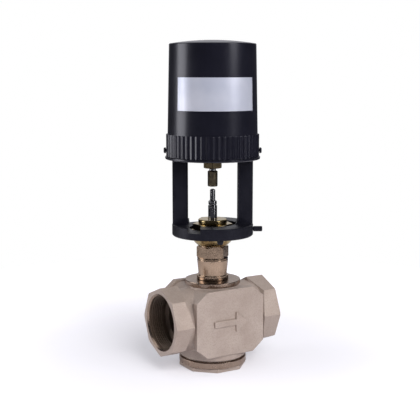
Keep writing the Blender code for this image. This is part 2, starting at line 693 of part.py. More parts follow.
def make_valve_body():
    core = stand_up(
        sheet_mesh(
            "valve_body", [block_outline(-PAD_BORDER)], -BLOCK_HALF_DEPTH, BLOCK_HALF_DEPTH
        )
    )
    body = add_object("valve_body", core, BRONZE)
    bevel(body, BLOCK_ROUND, 2)

    added = [make_collar(side) for side in ("left", "right")]
    neck_half = FACE_HALF - COLLAR_LENGTH + 2.0 * MM
    neck_mesh = turned_mesh("neck", rod_profile(NECK_R, -neck_half, neck_half), NECK_FACETS)
    neck = add_object("neck", lay_along_x(neck_mesh))
    neck.location = (0.0, 0.0, PORT_Z)
    added.append(neck)

    pad_low = BLOCK_HALF_DEPTH - PAD_INSET
    for side, near, far in (
        ("front", pad_low, PAD_HALF_DEPTH),
        ("back", -PAD_HALF_DEPTH, -pad_low),
    ):
        pad = add_object(
            "pad_" + side, stand_up(sheet_mesh("pad", [block_outline(0.0)], near, far))
        )
        bevel(pad, PAD_ROUND)
        added.append(pad)

    barrel_profile = [
        (0.0, BOSS_TOP),
        (BOSS_R - 0.8 * MM, BOSS_TOP),
        (BOSS_R, BOSS_TOP - 0.8 * MM),
        (BOSS_R, BOSS_TOP - BOSS_HEIGHT + BOSS_GROOVE_HEIGHT * 0.4),
        (BOSS_GROOVE_R, BOSS_TOP - BOSS_HEIGHT - BOSS_GROOVE_HEIGHT * 0.4),
        (BOSS_GROOVE_R, WEB_HIGH),
        (BARREL_R, WEB_LOW),
        (BARREL_R, BARREL_BOTTOM + 0.8 * MM),
        (BAND_GROOVE_R, BARREL_BOTTOM),
        (BAND_GROOVE_R, BAND_TOP),
        (BAND_R - 0.7 * MM, BAND_TOP),
        (BAND_R, BAND_TOP - 0.7 * MM),
        (BAND_R, BODY_BOTTOM + 0.6 * MM),
        (BAND_R - 0.6 * MM, BODY_BOTTOM),
        (0.0, BODY_BOTTOM),
    ]
    barrel = add_object("barrel", turned_mesh("barrel", barrel_profile, BARREL_FACETS))
    added.append(barrel)
    boolean_group(body, added, "UNION")

    cut = [make_port_cutter(side) for side in ("left", "right")]
    chamber_profile = [
        (0.0, BOSS_TOP + 1.0 * MM),
        (BONNET_SPIGOT_R + FIT_GAP, BOSS_TOP + 1.0 * MM),
        (BONNET_SPIGOT_R + FIT_GAP, CHAMBER_TOP),
        (CHAMBER_R, CHAMBER_TOP),
        (CHAMBER_R, WEB_HIGH),
        (SEAT_SPIGOT_R + FIT_GAP, WEB_HIGH),
        (SEAT_SPIGOT_R + FIT_GAP, WEB_LOW),
        (CHAMBER_R, WEB_LOW),
        (CHAMBER_R, CAP_BORE_TOP),
        (CAP_SPIGOT_R + FIT_GAP, CAP_BORE_TOP),
        (CAP_SPIGOT_R + FIT_GAP, BODY_BOTTOM - 1.0 * MM),
        (0.0, BODY_BOTTOM - 1.0 * MM),
    ]
    chamber = add_object("chambers", turned_mesh("chambers", chamber_profile, CHAMBER_FACETS))
    cut.append(chamber)
    reach = CHAMBER_R + PARTING_WALL + 2.0 * MM
    inner = CHAMBER_R - 3.0 * MM
    window_low = add_object(
        "window_to_lower_chamber",
        box_mesh(
            "window_low",
            (-reach, -WINDOW_HALF, WEB_LOW - WINDOW_HEIGHT),
            (-inner, WINDOW_HALF, WEB_LOW - WINDOW_LEDGE),
        ),
    )
    window_high = add_object(
        "window_to_upper_chamber",
        box_mesh(
            "window_high",
            (inner, -WINDOW_HALF, WEB_HIGH + WINDOW_LEDGE),
            (reach, WINDOW_HALF, WEB_HIGH + WINDOW_HEIGHT),
        ),
    )
    cut += [window_low, window_high]
    boolean_group(body, cut, "DIFFERENCE")
    return body


def make_bottom_cap():
    inner = CAP_SPIGOT_R - CAP_WALL
    head = prism_mesh("bottom_cap", 8, CAP_HEAD_R, 0.0, CAP_HEAD_HEIGHT, math.pi / 8)
    cap = add_object("bottom_cap", head, BRONZE)
    bevel(cap, 0.5 * MM, 1, 60.0)
    spigot = [
        (0.0, CAP_HEAD_HEIGHT + 1.0 * MM),
        (inner, CAP_HEAD_HEIGHT + 1.0 * MM),
        (inner, CAP_SPIGOT_TOP),
        (CAP_SPIGOT_R - 0.5 * MM, CAP_SPIGOT_TOP),
        (CAP_SPIGOT_R, CAP_SPIGOT_TOP - 0.5 * MM),
        (CAP_SPIGOT_R, CAP_HEAD_HEIGHT / 2),
        (0.0, CAP_HEAD_HEIGHT / 2),
    ]
    boolean(cap, add_object("cap_spigot", turned_mesh("cap_spigot", spigot, ROUND)), "UNION")
    gasket_low = CAP_SPIGOT_TOP + SEAT_GAP
    gasket = tube_profile(
        CAP_SPIGOT_R - 0.2 * MM,
        CAP_SPIGOT_R - CAP_GASKET_WALL,
        gasket_low,
        gasket_low + CAP_GASKET_HEIGHT,
    )
    add_object("bottom_cap_gasket", turned_mesh("bottom_cap_gasket", gasket, ROUND), COPPERY)


def make_seat_ring():
    profile = [
        (SEAT_SPIGOT_R - 1.2 * MM, SEAT_TOP),
        (SEAT_SPIGOT_R, SEAT_TOP - 1.2 * MM),
        (SEAT_SPIGOT_R, WEB_LOW - SEAT_GAP),
        (SEAT_FLANGE_R, WEB_LOW - SEAT_GAP),
        (SEAT_FLANGE_R, WEB_LOW - SEAT_GAP - SEAT_FLANGE_HEIGHT),
        (SEAT_BORE_R + 1.5 * MM, WEB_LOW - SEAT_GAP - SEAT_FLANGE_HEIGHT),
        (SEAT_BORE_R, WEB_LOW - SEAT_GAP - SEAT_FLANGE_HEIGHT + 1.5 * MM),
        (SEAT_BORE_R, SEAT_TOP),
    ]
    add_object("seat_ring", turned_mesh("seat_ring", profile, ROUND), STEEL)


# ---- bonnet and gland ------------------------------------------------------------------------
def make_bonnet():
    profile = [
        (BONNET_NOSE_R - 0.8 * MM, BONNET_TOP),
        (BONNET_NOSE_R, BONNET_TOP - 0.8 * MM),
        (BONNET_NOSE_R, NOSE_BASE),
        (BONNET_UNDERCUT_R, NOSE_BASE),
        (BONNET_UNDERCUT_R, HEX_BASE + BONNET_HEX_HEIGHT / 2),
        (BONNET_TAPER_TOP_R, HEX_BASE + BONNET_HEX_HEIGHT / 3),
        (BONNET_TAPER_TOP_R, COLLAR_BASE),
        (BONNET_TAPER_LOW_R, TAPER_BASE + 2.0 * MM),
        (BONNET_GROOVE_R, TAPER_BASE),
        (BONNET_GROOVE_R, GROOVE_BASE),
        (BONNET_RING_R - 0.5 * MM, GROOVE_BASE),
        (BONNET_RING_R, GROOVE_BASE - 0.5 * MM),
        (BONNET_RING_R, RING_BASE),
        (BONNET_SPIGOT_R, RING_BASE),
        (BONNET_SPIGOT_R, BONNET_BOTTOM),
        (STEM_BORE_R, BONNET_BOTTOM),
        (STEM_BORE_R, PACKING_BORE_BASE),
        (PACKING_BORE_R, PACKING_BORE_BASE),
        (PACKING_BORE_R, BONNET_TOP),
    ]
    bonnet = add_object("bonnet", turned_mesh("bonnet", profile, ROUND), COPPERY)
    hexagon = add_object(
        "bonnet_hexagon",
        prism_mesh(
            "hexagon", 6, BONNET_HEX_R, HEX_BASE - MM, UNDERCUT_BASE + MM, BONNET_HEX_TURN
        ),
    )
    bore = rod_profile(PACKING_BORE_R + 3.0 * MM, HEX_BASE - 2 * MM, NOSE_BASE + MM)
    bore = add_object("hexagon_bore", turned_mesh("hexagon_bore", bore, SMALL))
    boolean(hexagon, bore, "DIFFERENCE")
    chamfer = [
        (0.0, UNDERCUT_BASE),
        (BONNET_HEX_R - 1.4 * MM, UNDERCUT_BASE),
        (BONNET_HEX_R + 0.2 * MM, UNDERCUT_BASE - 1.1 * MM),
        (BONNET_HEX_R + 0.2 * MM, HEX_BASE + 1.1 * MM),
        (BONNET_HEX_R - 1.4 * MM, HEX_BASE),
        (0.0, HEX_BASE),
    ]
    intersect_turning(hexagon, "hexagon_turning", chamfer)
    boolean(bonnet, hexagon, "UNION")


def make_gland():
    outer = GLAND_SPIGOT_R
    bush = tube_profile(outer, STEM_BORE_R, BUSH_BASE, BUSH_BASE + BUSH_HEIGHT)
    add_object("stem_guide_bush", turned_mesh("stem_guide_bush", bush, SMALL), BRASS)
    packing = tube_profile(outer, STEM_BORE_R, PACKING_BASE, PACKING_BASE + PACKING_HEIGHT)
    add_object("stem_packing", turned_mesh("stem_packing", packing, SMALL), GRAPHITE)
    top = GLAND_DISC_BASE + GLAND_DISC_HEIGHT
    gland = [
        (GLAND_DISC_R - GLAND_RIM, top),
        (GLAND_DISC_R, top - GLAND_RIM),
        (GLAND_DISC_R, GLAND_DISC_BASE + GLAND_RIM / 2),
        (GLAND_DISC_R - GLAND_RIM / 2, GLAND_DISC_BASE),
        (outer, GLAND_DISC_BASE),
        (outer, GLAND_BASE),
        (STEM_BORE_R, GLAND_BASE),
        (STEM_BORE_R, top - 0.6 * MM),
        (STEM_BORE_R + 0.6 * MM, top),
    ]
    add_object("gland_nut", turned_mesh("gland_nut", gland, ROUND), BRASS)


# ---- yoke ------------------------------------------------------------------------------------
def leg_outline(side):
    """Plan of a leg: a flat inner face and an outer face that follows the ring."""
    outer = RING_R - LEG_STEP
    reach = math.asin((LEG_HALF_DEPTH - LEG_CORNER * 0.3) / outer)
    points = [
        (LEG_INNER + LEG_CORNER, -LEG_HALF_DEPTH),
        (outer * math.cos(reach) - LEG_CORNER, -LEG_HALF_DEPTH),
    ]
    for index in range(7):
        points.append(polar(outer, reach * (index / 3 - 1)))
    points += [
        (outer * math.cos(reach) - LEG_CORNER, LEG_HALF_DEPTH),
        (LEG_INNER + LEG_CORNER, LEG_HALF_DEPTH),
        (LEG_INNER, LEG_HALF_DEPTH - LEG_CORNER),
        (LEG_INNER, -LEG_HALF_DEPTH + LEG_CORNER),
    ]
    if side < 0:
        points = [(-x, -y) for x, y in points]
    return points


def fillet_outline(side):
    """Section of the fillet between the ring's top and a leg's inner face."""
    inside = LEG_INNER + LEG_CORNER
    points = [(inside, RING_TOP - 2.0 * MM), (inside, RING_TOP + FOOT_FILLET)]
    for index in range(6):
        angle = math.pi / 2 * index / 5
        points.append(
            (
                LEG_INNER - FOOT_FILLET * (1 - math.cos(angle)),
                RING_TOP + FOOT_FILLET * (1 - math.sin(angle)),
            )
        )
    points.append((LEG_INNER - FOOT_FILLET, RING_TOP - 2.0 * MM))
    return [(side * x, z) for x, z in points]


def make_yoke(frame):
    profile = [
        (RING_R - RING_ROUND, RING_TOP),
        (RING_R, RING_TOP - RING_ROUND),
        (RING_R, YOKE_BASE + RING_ROUND),
        (RING_R - RING_ROUND, YOKE_BASE),
        (NOSE_HOLE_R, YOKE_BASE),
        (NOSE_HOLE_R, RING_TOP),
    ]
    yoke = add_object("yoke", turned_mesh("yoke", profile, RING_FACETS), BLACK_METAL, frame)
    sunk = YOKE_BASE + RING_ROUND * 2
    added = []
    for side, name in ((1, "right"), (-1, "left")):
        leg = sheet_mesh("leg", [leg_outline(side)], sunk, YOKE_TOP)
        added.append(add_object("leg_" + name, leg, None, frame))
        width = LEG_HALF_DEPTH - LEG_CORNER
        fillet = stand_up(sheet_mesh("foot", [fillet_outline(side)], -width, width))
        added.append(add_object("foot_" + name, fillet, None, frame))
    boolean_group(yoke, added, "UNION")
    well = rod_profile(COUNTERBORE_R, YOKE_FLOOR, RING_TOP + FOOT_FILLET + MM)
    cut = [add_object("nut_well", turned_mesh("nut_well", well, RING_FACETS), None, frame)]
    slot = box_mesh(
        "slot",
        (-SLOT_FAR, -RING_R - MM, RING_TOP - SLOT_DEPTH),
        (-SLOT_NEAR, RING_R + MM, RING_TOP + MM),
    )
    cut.append(add_object("spanner_slot", slot, None, frame))

    hole = SHANK_R + FIT_GAP
    drill = rod_profile(hole, RING_R - SET_SCREW_DEPTH - SEAT_GAP, RING_R + 2 * MM)
    set_hole = lay_along_x(turned_mesh("set_screw_hole", drill, TINY))
    set_hole.transform(Matrix.Translation((0.0, 0.0, set_screw_level())))
    cut.append(add_object("set_screw_hole", set_hole, None, frame))
    drill = rod_profile(hole, YOKE_BASE - MM, YOKE_BASE + LUG_SCREW_DEPTH + SEAT_GAP)
    lug_hole = add_object("lug_screw_hole", turned_mesh("lug_hole", drill, TINY), None, frame)
    lug_hole.location = (*LUG_SCREW_AT, 0.0)
    cut.append(lug_hole)
    for side, name in ((1, "right"), (-1, "left")):
        drill = rod_profile(hole, YOKE_TOP - BASE_SCREW_DEPTH - SEAT_GAP, YOKE_TOP + MM)
        leg_hole = add_object(
            "leg_hole_" + name, turned_mesh("leg_hole", drill, TINY), None, frame
        )
        leg_hole.location = (side * BASE_SCREW_OFFSET, 0.0, 0.0)
        cut.append(leg_hole)
    boolean_group(yoke, cut, "DIFFERENCE")


def set_screw_level():
    return YOKE_BASE + RING_HEIGHT / 2


def make_yoke_fastening(frame):
    cone = [
        (FLANGE_TOP_R, FLANGE_BASE + FLANGE_HEIGHT),
        (FLANGE_TOP_R, FLANGE_BASE + FLANGE_LOW_HEIGHT + FLANGE_CONE_HEIGHT),
        (FLANGE_MID_R, FLANGE_BASE + FLANGE_LOW_HEIGHT),
        (FLANGE_LOW_R, FLANGE_BASE),
        (NOSE_HOLE_R, FLANGE_BASE),
        (NOSE_HOLE_R, FLANGE_BASE + FLANGE_HEIGHT),
    ]
    add_object("yoke_flange", turned_mesh("yoke_flange", cone, ROUND), BRASS)
    washer = tube_profile(WASHER_R, NOSE_HOLE_R, WASHER_BASE, WASHER_BASE + WASHER_HEIGHT)
    add_object("yoke_washer", turned_mesh("yoke_washer", washer, ROUND), BRASS)

    nut = prism_mesh("yoke_nut", 6, YOKE_NUT_R, YOKE_NUT_BASE - MM, YOKE_NUT_TOP + MM)
    nut = add_object("yoke_nut", nut, BRASS, frame)
    chamfer = [
        (0.0, YOKE_NUT_TOP),
        (YOKE_NUT_R - 2.2 * MM, YOKE_NUT_TOP),
        (YOKE_NUT_R + 0.2 * MM, YOKE_NUT_TOP - 1.3 * MM),
        (YOKE_NUT_R + 0.2 * MM, YOKE_NUT_BASE),
        (0.0, YOKE_NUT_BASE),
    ]
    intersect_turning(nut, "nut_turning", chamfer, frame)
    bore = rod_profile(NOSE_HOLE_R, YOKE_NUT_BASE - 2 * MM, YOKE_NUT_TOP + 2 * MM)
    bore = add_object("nut_bore", turned_mesh("nut_bore", bore, ROUND), None, frame)
    boolean(nut, bore, "DIFFERENCE")

    start = RING_R - SET_SCREW_DEPTH
    screw = [
        (0.0, SET_SCREW_REACH),
        (SET_SCREW_R - 0.7 * MM, SET_SCREW_REACH),
        (SET_SCREW_R, SET_SCREW_REACH - 0.7 * MM),
        (SET_SCREW_R, RING_R + SEAT_GAP),
        (SHANK_R, RING_R + SEAT_GAP),
        (SHANK_R, start),
        (0.0, start),
    ]
    mesh = lay_along_x(turned_mesh("yoke_set_screw", screw, TINY))
    add_object(
        "yoke_set_screw", mesh, BLACK_METAL, frame, (0.0, 0.0, set_screw_level())
    )

    head = YOKE_BASE - SEAT_GAP
    low = head - LUG_SCREW_HEAD_HEIGHT
    screw = [
        (0.0, YOKE_BASE + LUG_SCREW_DEPTH),
        (SHANK_R, YOKE_BASE + LUG_SCREW_DEPTH),
        (SHANK_R, head),
        (LUG_SCREW_HEAD_R, head),
        (LUG_SCREW_HEAD_R, low + LUG_SCREW_HEAD_HEIGHT * 0.45),
        (LUG_SCREW_HEAD_R * 0.82, low + LUG_SCREW_HEAD_HEIGHT * 0.15),
        (LUG_SCREW_HEAD_R * 0.45, low),
        (0.0, low),
    ]
    mesh = turned_mesh("yoke_lug_screw", screw, TINY)
    add_object("yoke_lug_screw", mesh, BLACK_METAL, frame, (*LUG_SCREW_AT, 0.0))


# ---- stem and plug ---------------------------------------------------------------------------
def make_stem():
    tip = 1.6 * MM
    profile = [(0.0, STEM_TOP)]
    for index in range(1, 5):
        angle = math.pi / 2 * index / 4
        profile.append(
            (STEM_TIP_R * math.sin(angle), STEM_TOP - tip * (1 - math.cos(angle)))
        )
    profile += [
        (STEM_TIP_R, STEM_SHOULDER),
        (STEM_R - 0.5 * MM, STEM_SHOULDER),
        (STEM_R, STEM_SHOULDER - 0.5 * MM),
        (STEM_R, STEM_LOW_SHOULDER),
        (STEM_FOOT_R, STEM_LOW_SHOULDER),
        (STEM_FOOT_R, STEM_BOTTOM),
        (0.0, STEM_BOTTOM),
    ]
    add_object("valve_stem", turned_mesh("valve_stem", profile, SMALL), CHROME)

    low = STEM_SHOULDER + SEAT_GAP
    high = low + LOCK_NUT_HEIGHT
    inner = STEM_TIP_R + FIT_GAP
    nut = [
        (LOCK_NUT_R - 0.9 * MM, high),
        (LOCK_NUT_R, high - 0.9 * MM),
        (LOCK_NUT_R, low + 0.5 * MM),
        (LOCK_NUT_R - 0.5 * MM, low),
        (inner, low),
        (inner, high),
    ]
    add_object("stem_lock_nut", turned_mesh("stem_lock_nut", nut, SMALL), CHROME)

    bore = STEM_FOOT_R + FIT_GAP
    plug = [
        (PLUG_HUB_R, PLUG_TOP),
        (PLUG_HUB_R, PLUG_HUB_BASE),
        (PLUG_R - 1.0 * MM, PLUG_HUB_BASE),
        (PLUG_R, PLUG_HUB_BASE - 1.0 * MM),
        (PLUG_R, PLUG_DISC_BASE),
        (PLUG_CORE_R, PLUG_DISC_BASE),
        (PLUG_CORE_R, PLUG_SKIRT_TOP),
        (PLUG_SKIRT_R, PLUG_SKIRT_TOP),
        (PLUG_SKIRT_R, PLUG_SKIRT_BASE),
    ]
    for index in range(1, 5):
        share = index / 4
        radius = PLUG_SKIRT_R + (PLUG_TIP_R - PLUG_SKIRT_R) * share**1.6
        plug.append((radius, PLUG_SKIRT_BASE - PLUG_TIP_HEIGHT * share))
    plug += [(bore, PLUG_BASE), (bore, PLUG_TOP)]
    add_object("valve_plug", turned_mesh("valve_plug", plug, ROUND), STEEL)
    seal = tube_profile(
        SEAL_R, PLUG_CORE_R + FIT_GAP, SEAL_BASE, SEAL_BASE + SEAL_HEIGHT
    )
    add_object("plug_seal", turned_mesh("plug_seal", seal, ROUND), WHITE_PLASTIC)
    nut = add_object(
        "plug_nut", prism_mesh("plug_nut", 6, PLUG_NUT_R, PLUG_NUT_BASE, PLUG_NUT_TOP), STEEL
    )
    hole = rod_profile(bore, PLUG_NUT_BASE - MM, PLUG_NUT_TOP + MM)
    hole = add_object("plug_nut_hole", turned_mesh("plug_nut_hole", hole, SMALL))
    boolean(nut, hole, "DIFFERENCE")


# ---- spindle, its guide and coupling ---------------------------------------------------------
def make_spindle(frame):
    profile = [
        (0.0, SCREW_TOP + STUB_LENGTH),
        (STUB_R, SCREW_TOP + STUB_LENGTH),
        (STUB_R, SCREW_TOP),
        (SCREW_R, SCREW_TOP),
        (SCREW_R, SCREW_BASE),
        (SPINDLE_NECK_R, SCREW_BASE),
        (SPINDLE_NECK_R, SPINDLE_BASE),
        (0.0, SPINDLE_BASE),
    ]
    add_object("drive_spindle", turned_mesh("drive_spindle", profile, SMALL), CHROME, frame)

    grip = SPINDLE_NECK_R + FIT_GAP
    socket = STEM_TIP_R + FIT_GAP
    shelf = SPINDLE_BASE - SEAT_GAP
    cut = COUPLING_CHAMFER
    profile = [
        (COUPLING_R - cut, COUPLING_TOP),
        (COUPLING_R, COUPLING_TOP - cut),
        (COUPLING_R, COUPLING_BASE + cut),
        (COUPLING_R - cut, COUPLING_BASE),
        (socket, COUPLING_BASE),
        (socket, shelf),
        (grip, shelf),
        (grip, COUPLING_TOP),
    ]
    add_object("stem_coupling", turned_mesh("stem_coupling", profile, SMALL), OLIVE_BRASS, frame)

    nut = add_object(
        "spindle_guide_nut",
        prism_mesh("guide", 6, GUIDE_HEX_R, GUIDE_BASE - MM, GUIDE_TOP + MM, -math.pi / 2),
        BRASS,
        frame,
    )
    edge = GUIDE_HEX_R + 0.2 * MM
    chamfer = [
        (0.0, GUIDE_TOP),
        (edge, GUIDE_TOP),
        (edge, GUIDE_BASE + GUIDE_CHAMFER),
        (GUIDE_HEX_R - 2.2 * MM, GUIDE_BASE),
        (0.0, GUIDE_BASE),
    ]
    intersect_turning(nut, "guide_turning", chamfer, frame)
    spigot = rod_profile(GUIDE_SPIGOT_R, GUIDE_TOP - 2 * MM, FLOOR_TOP + GUIDE_STAND)
    spigot = add_object("guide_spigot", turned_mesh("guide_spigot", spigot, ROUND), None, frame)
    boolean(nut, spigot, "UNION")
    bore = [
        (0.0, FLOOR_TOP + GUIDE_STAND + MM),
        (SCREW_R + RUN_GAP, FLOOR_TOP + GUIDE_STAND + MM),
        (SCREW_R + RUN_GAP, GUIDE_BASE + GUIDE_LIP),
        (SPINDLE_NECK_R + RUN_GAP, GUIDE_BASE + GUIDE_LIP),
        (SPINDLE_NECK_R + RUN_GAP, GUIDE_BASE - 2 * MM),
        (0.0, GUIDE_BASE - 2 * MM),
    ]
    bore = add_object("guide_bore", turned_mesh("guide_bore", bore, SMALL), None, frame)
    boolean(nut, bore, "DIFFERENCE")


# ---- housing ---------------------------------------------------------------------------------
def make_base(frame):
    inner = BASE_WALL_R - BASE_WALL
    profile = [
        (BASE_WALL_R, BASE_WALL_TOP),
        (BASE_WALL_R, BASE_BOTTOM + RIM_HEIGHT),
        (RIM_R, BASE_BOTTOM + RIM_HEIGHT),
        (RIM_R, BASE_BOTTOM + 0.8 * MM),
        (RIM_R - 0.8 * MM, BASE_BOTTOM),
        (GUIDE_SPIGOT_R + FIT_GAP, BASE_BOTTOM),
        (GUIDE_SPIGOT_R + FIT_GAP, FLOOR_TOP),
        (inner, FLOOR_TOP),
        (inner, BASE_WALL_TOP),
    ]
    base = add_object("actuator_base", turned_mesh("base", profile, FINE), BLACK_PLASTIC, frame)
    holes = []
    for side in (1, -1):
        drill = turned_mesh(
            "drill",
            rod_profile(SHANK_R + FIT_GAP, BASE_BOTTOM - MM, FLOOR_TOP + MM),
            TINY,
        )
        drill.transform(Matrix.Translation((side * BASE_SCREW_OFFSET, 0.0, 0.0)))
        holes.append(drill)
        drill = turned_mesh(
            "drill",
            rod_profile(
                COVER_SCREW_R + FIT_GAP,
                BASE_WALL_R - BASE_WALL - MM,
                BASE_WALL_R + MM,
            ),
            TINY,
        )
        lay_along_x(drill)
        drill.transform(Matrix.Rotation(math.pi if side < 0 else 0.0, 4, "Z"))
        drill.transform(Matrix.Translation((0.0, 0.0, cover_screw_level())))
        holes.append(drill)
    sink = turned_mesh(
        "drill",
        rod_profile(
            IDLER_SHAFT_R + RUN_GAP, FLOOR_TOP - IDLER_SHAFT_SINK - SEAT_GAP, FLOOR_TOP + MM
        ),
        TINY,
    )
    sink.transform(Matrix.Translation((*idler_centre(), 0.0)))
    holes.append(sink)
    drills = add_object("base_drills", merge_meshes("base_drills", holes), None, frame)
    boolean(base, drills, "DIFFERENCE")

    for side, name in ((1, "right"), (-1, "left")):
        head = FLOOR_TOP + SEAT_GAP
        profile = [
            (0.0, head + BASE_SCREW_HEAD_HEIGHT),
            (BASE_SCREW_HEAD_R - 0.8 * MM, head + BASE_SCREW_HEAD_HEIGHT),
            (BASE_SCREW_HEAD_R, head + BASE_SCREW_HEAD_HEIGHT - 0.8 * MM),
            (BASE_SCREW_HEAD_R, head),
            (SHANK_R, head),
            (SHANK_R, YOKE_TOP - BASE_SCREW_DEPTH),
            (0.0, YOKE_TOP - BASE_SCREW_DEPTH),
        ]
        screw = turned_mesh("base_screw", profile, TINY)
        place = (side * BASE_SCREW_OFFSET, 0.0, 0.0)
        add_object("base_screw_" + name, screw, STEEL, frame, place)


def cover_screw_level():
    return COVER_BASE + COVER_SCREW_RISE


def fluted_outline():
    """Outer outline of the skirt: shallow flutes between flat ribs."""
    points = []
    pitch = 2 * math.pi / FLUTES
    for index in range(FLUTES):
        middle = pitch * index
        for share, depth in ((-0.38, 0.0), (-0.16, 0.0), (-0.04, 1.0), (0.50, 1.0)):
            points.append(polar(SKIRT_R - FLUTE_DEPTH * depth, middle + pitch * share))
    return points


def make_cover(frame):
    inner_low = COVER_LOW_R - COVER_WALL
    inner_top = COVER_TOP_R - COVER_WALL
    lip = SKIRT_TOP - 8.0 * MM
    roof = COVER_TOP - COVER_TOP_WALL
    edge = []
    for index in range(4):
        angle = math.pi / 2 * index / 3
        edge.append(
            (
                COVER_TOP_R - COVER_EDGE * (1 - math.sin(angle)),
                COVER_TOP - COVER_EDGE * (1 - math.cos(angle)),
            )
        )
    profile = [(0.0, COVER_TOP)] + edge
    profile += [
        (COVER_LOW_R, SKIRT_TOP),
        (COVER_LOW_R, lip),
        (inner_low, lip),
        (inner_low, SKIRT_TOP),
        (inner_top, roof - 2.0 * MM),
        (inner_top - 2.0 * MM, roof),
        (0.0, roof),
    ]
    cover = add_object("cover", turned_mesh("cover", profile, FINE), BLACK_PLASTIC, frame)
    skirt = sheet_mesh(
        "skirt",
        [fluted_outline(), circle(SKIRT_INNER_R, FINE)],
        COVER_BASE,
        SKIRT_TOP,
    )
    boolean(cover, add_object("skirt", skirt, None, frame), "UNION")
    holes = []
    for turn in (0.0, math.pi):
        drill = turned_mesh(
            "drill", rod_profile(COVER_SCREW_R + FIT_GAP, SKIRT_INNER_R - MM, SKIRT_R + MM), TINY
        )
        lay_along_x(drill)
        drill.transform(Matrix.Rotation(turn, 4, "Z"))
        drill.transform(Matrix.Translation((0.0, 0.0, cover_screw_level())))
        holes.append(drill)
    drill = turned_mesh(
        "drill", rod_profile(GROMMET_R + FIT_GAP, COVER_LOW_R - 6 * MM, SKIRT_R + MM), SMALL
    )
    lay_along_x(drill)
    drill.transform(Matrix.Rotation(math.pi / 2, 4, "Z"))
    drill.transform(Matrix.Translation((0.0, 0.0, COVER_BASE + GROMMET_RISE)))
    holes.append(drill)
    drills = add_object("cover_drills", merge_meshes("cover_drills", holes), None, frame)
    boolean(cover, drills, "DIFFERENCE")

    for turn, name in ((0.0, "right"), (math.pi, "left")):
        head = SKIRT_R + SEAT_GAP
        far = head + COVER_SCREW_HEAD_HEIGHT
        near = SKIRT_INNER_R - COVER_SCREW_DEPTH
        profile = [
            (0.0, far),
            (COVER_SCREW_HEAD_R - 0.8 * MM, far),
            (COVER_SCREW_HEAD_R, far - 0.8 * MM),
            (COVER_SCREW_HEAD_R, head),
            (COVER_SCREW_R, head),
            (COVER_SCREW_R, near),
            (0.0, near),
        ]
        screw = lay_along_x(turned_mesh("cover_screw", profile, TINY))
        place = (0.0, 0.0, cover_screw_level())
        add_object("cover_screw_" + name, screw, STEEL, frame, place, turn)

    outer = SKIRT_R + SEAT_GAP
    inner = COVER_LOW_R - COVER_WALL - SEAT_GAP
    profile = [
        (GROMMET_R + GROMMET_LIP - 0.5 * MM, outer + GROMMET_LIP),
        (GROMMET_R + GROMMET_LIP, outer + GROMMET_LIP - 0.5 * MM),
        (GROMMET_R + GROMMET_LIP, outer),
        (GROMMET_R, outer),
        (GROMMET_R, inner),
        (GROMMET_BORE_R, inner),
        (GROMMET_BORE_R, outer + GROMMET_LIP),
    ]
    grommet = lay_along_x(turned_mesh("cable_grommet", profile, SMALL))
    grommet.transform(Matrix.Rotation(math.pi / 2, 4, "Z"))
    level = COVER_BASE + GROMMET_RISE
    add_object("cable_grommet", grommet, RUBBER, frame, (0.0, 0.0, level))


# ---- gears and motor -------------------------------------------------------------------------
def involute(angle):
    return math.tan(angle) - angle


def gear_outline(teeth, start):
    """Outline of a spur gear with a tooth centred on the angle start."""
    pitch_r = MODULE * teeth / 2
    base_r = pitch_r * math.cos(PRESSURE_ANGLE)
    tip_r = pitch_r + 0.88 * MODULE
    root_r = pitch_r - 1.25 * MODULE
    half = math.pi / (2 * teeth) - BACKLASH / (2 * pitch_r)
    widest = half + involute(PRESSURE_ANGLE)
    flank = []
    for share in (0.0, 1.0):
        low = max(root_r, base_r)
        radius = low + (tip_r - low) * share
        flank.append((radius, widest - involute(math.acos(min(1.0, base_r / radius)))))
    if base_r > root_r + 0.3 * MM:
        flank.insert(0, (root_r, min(widest, math.pi / teeth * 0.8)))
    points = []
    for tooth in range(teeth):
        middle = start + 2 * math.pi * tooth / teeth
        for radius, angle in flank:
            points.append(polar(radius, middle - angle))
        for radius, angle in reversed(flank):
            points.append(polar(radius, middle + angle))
    return points


def pair_distance(first, second):
    return MODULE * (first + second) / 2


def idler_centre():
    return polar(pair_distance(NUT_TEETH, IDLER_PINION_TEETH), IDLER_ANGLE)


def motor_angle():
    """The motor lies at its own offset, in mesh with the idler's wheel."""
    idler = pair_distance(NUT_TEETH, IDLER_PINION_TEETH)
    reach = pair_distance(IDLER_WHEEL_TEETH, MOTOR_TEETH)
    cosine = (idler**2 + MOTOR_OFFSET**2 - reach**2) / (2 * idler * MOTOR_OFFSET)
    return IDLER_ANGLE + math.acos(cosine)


def motor_centre():
    return polar(MOTOR_OFFSET, motor_angle())


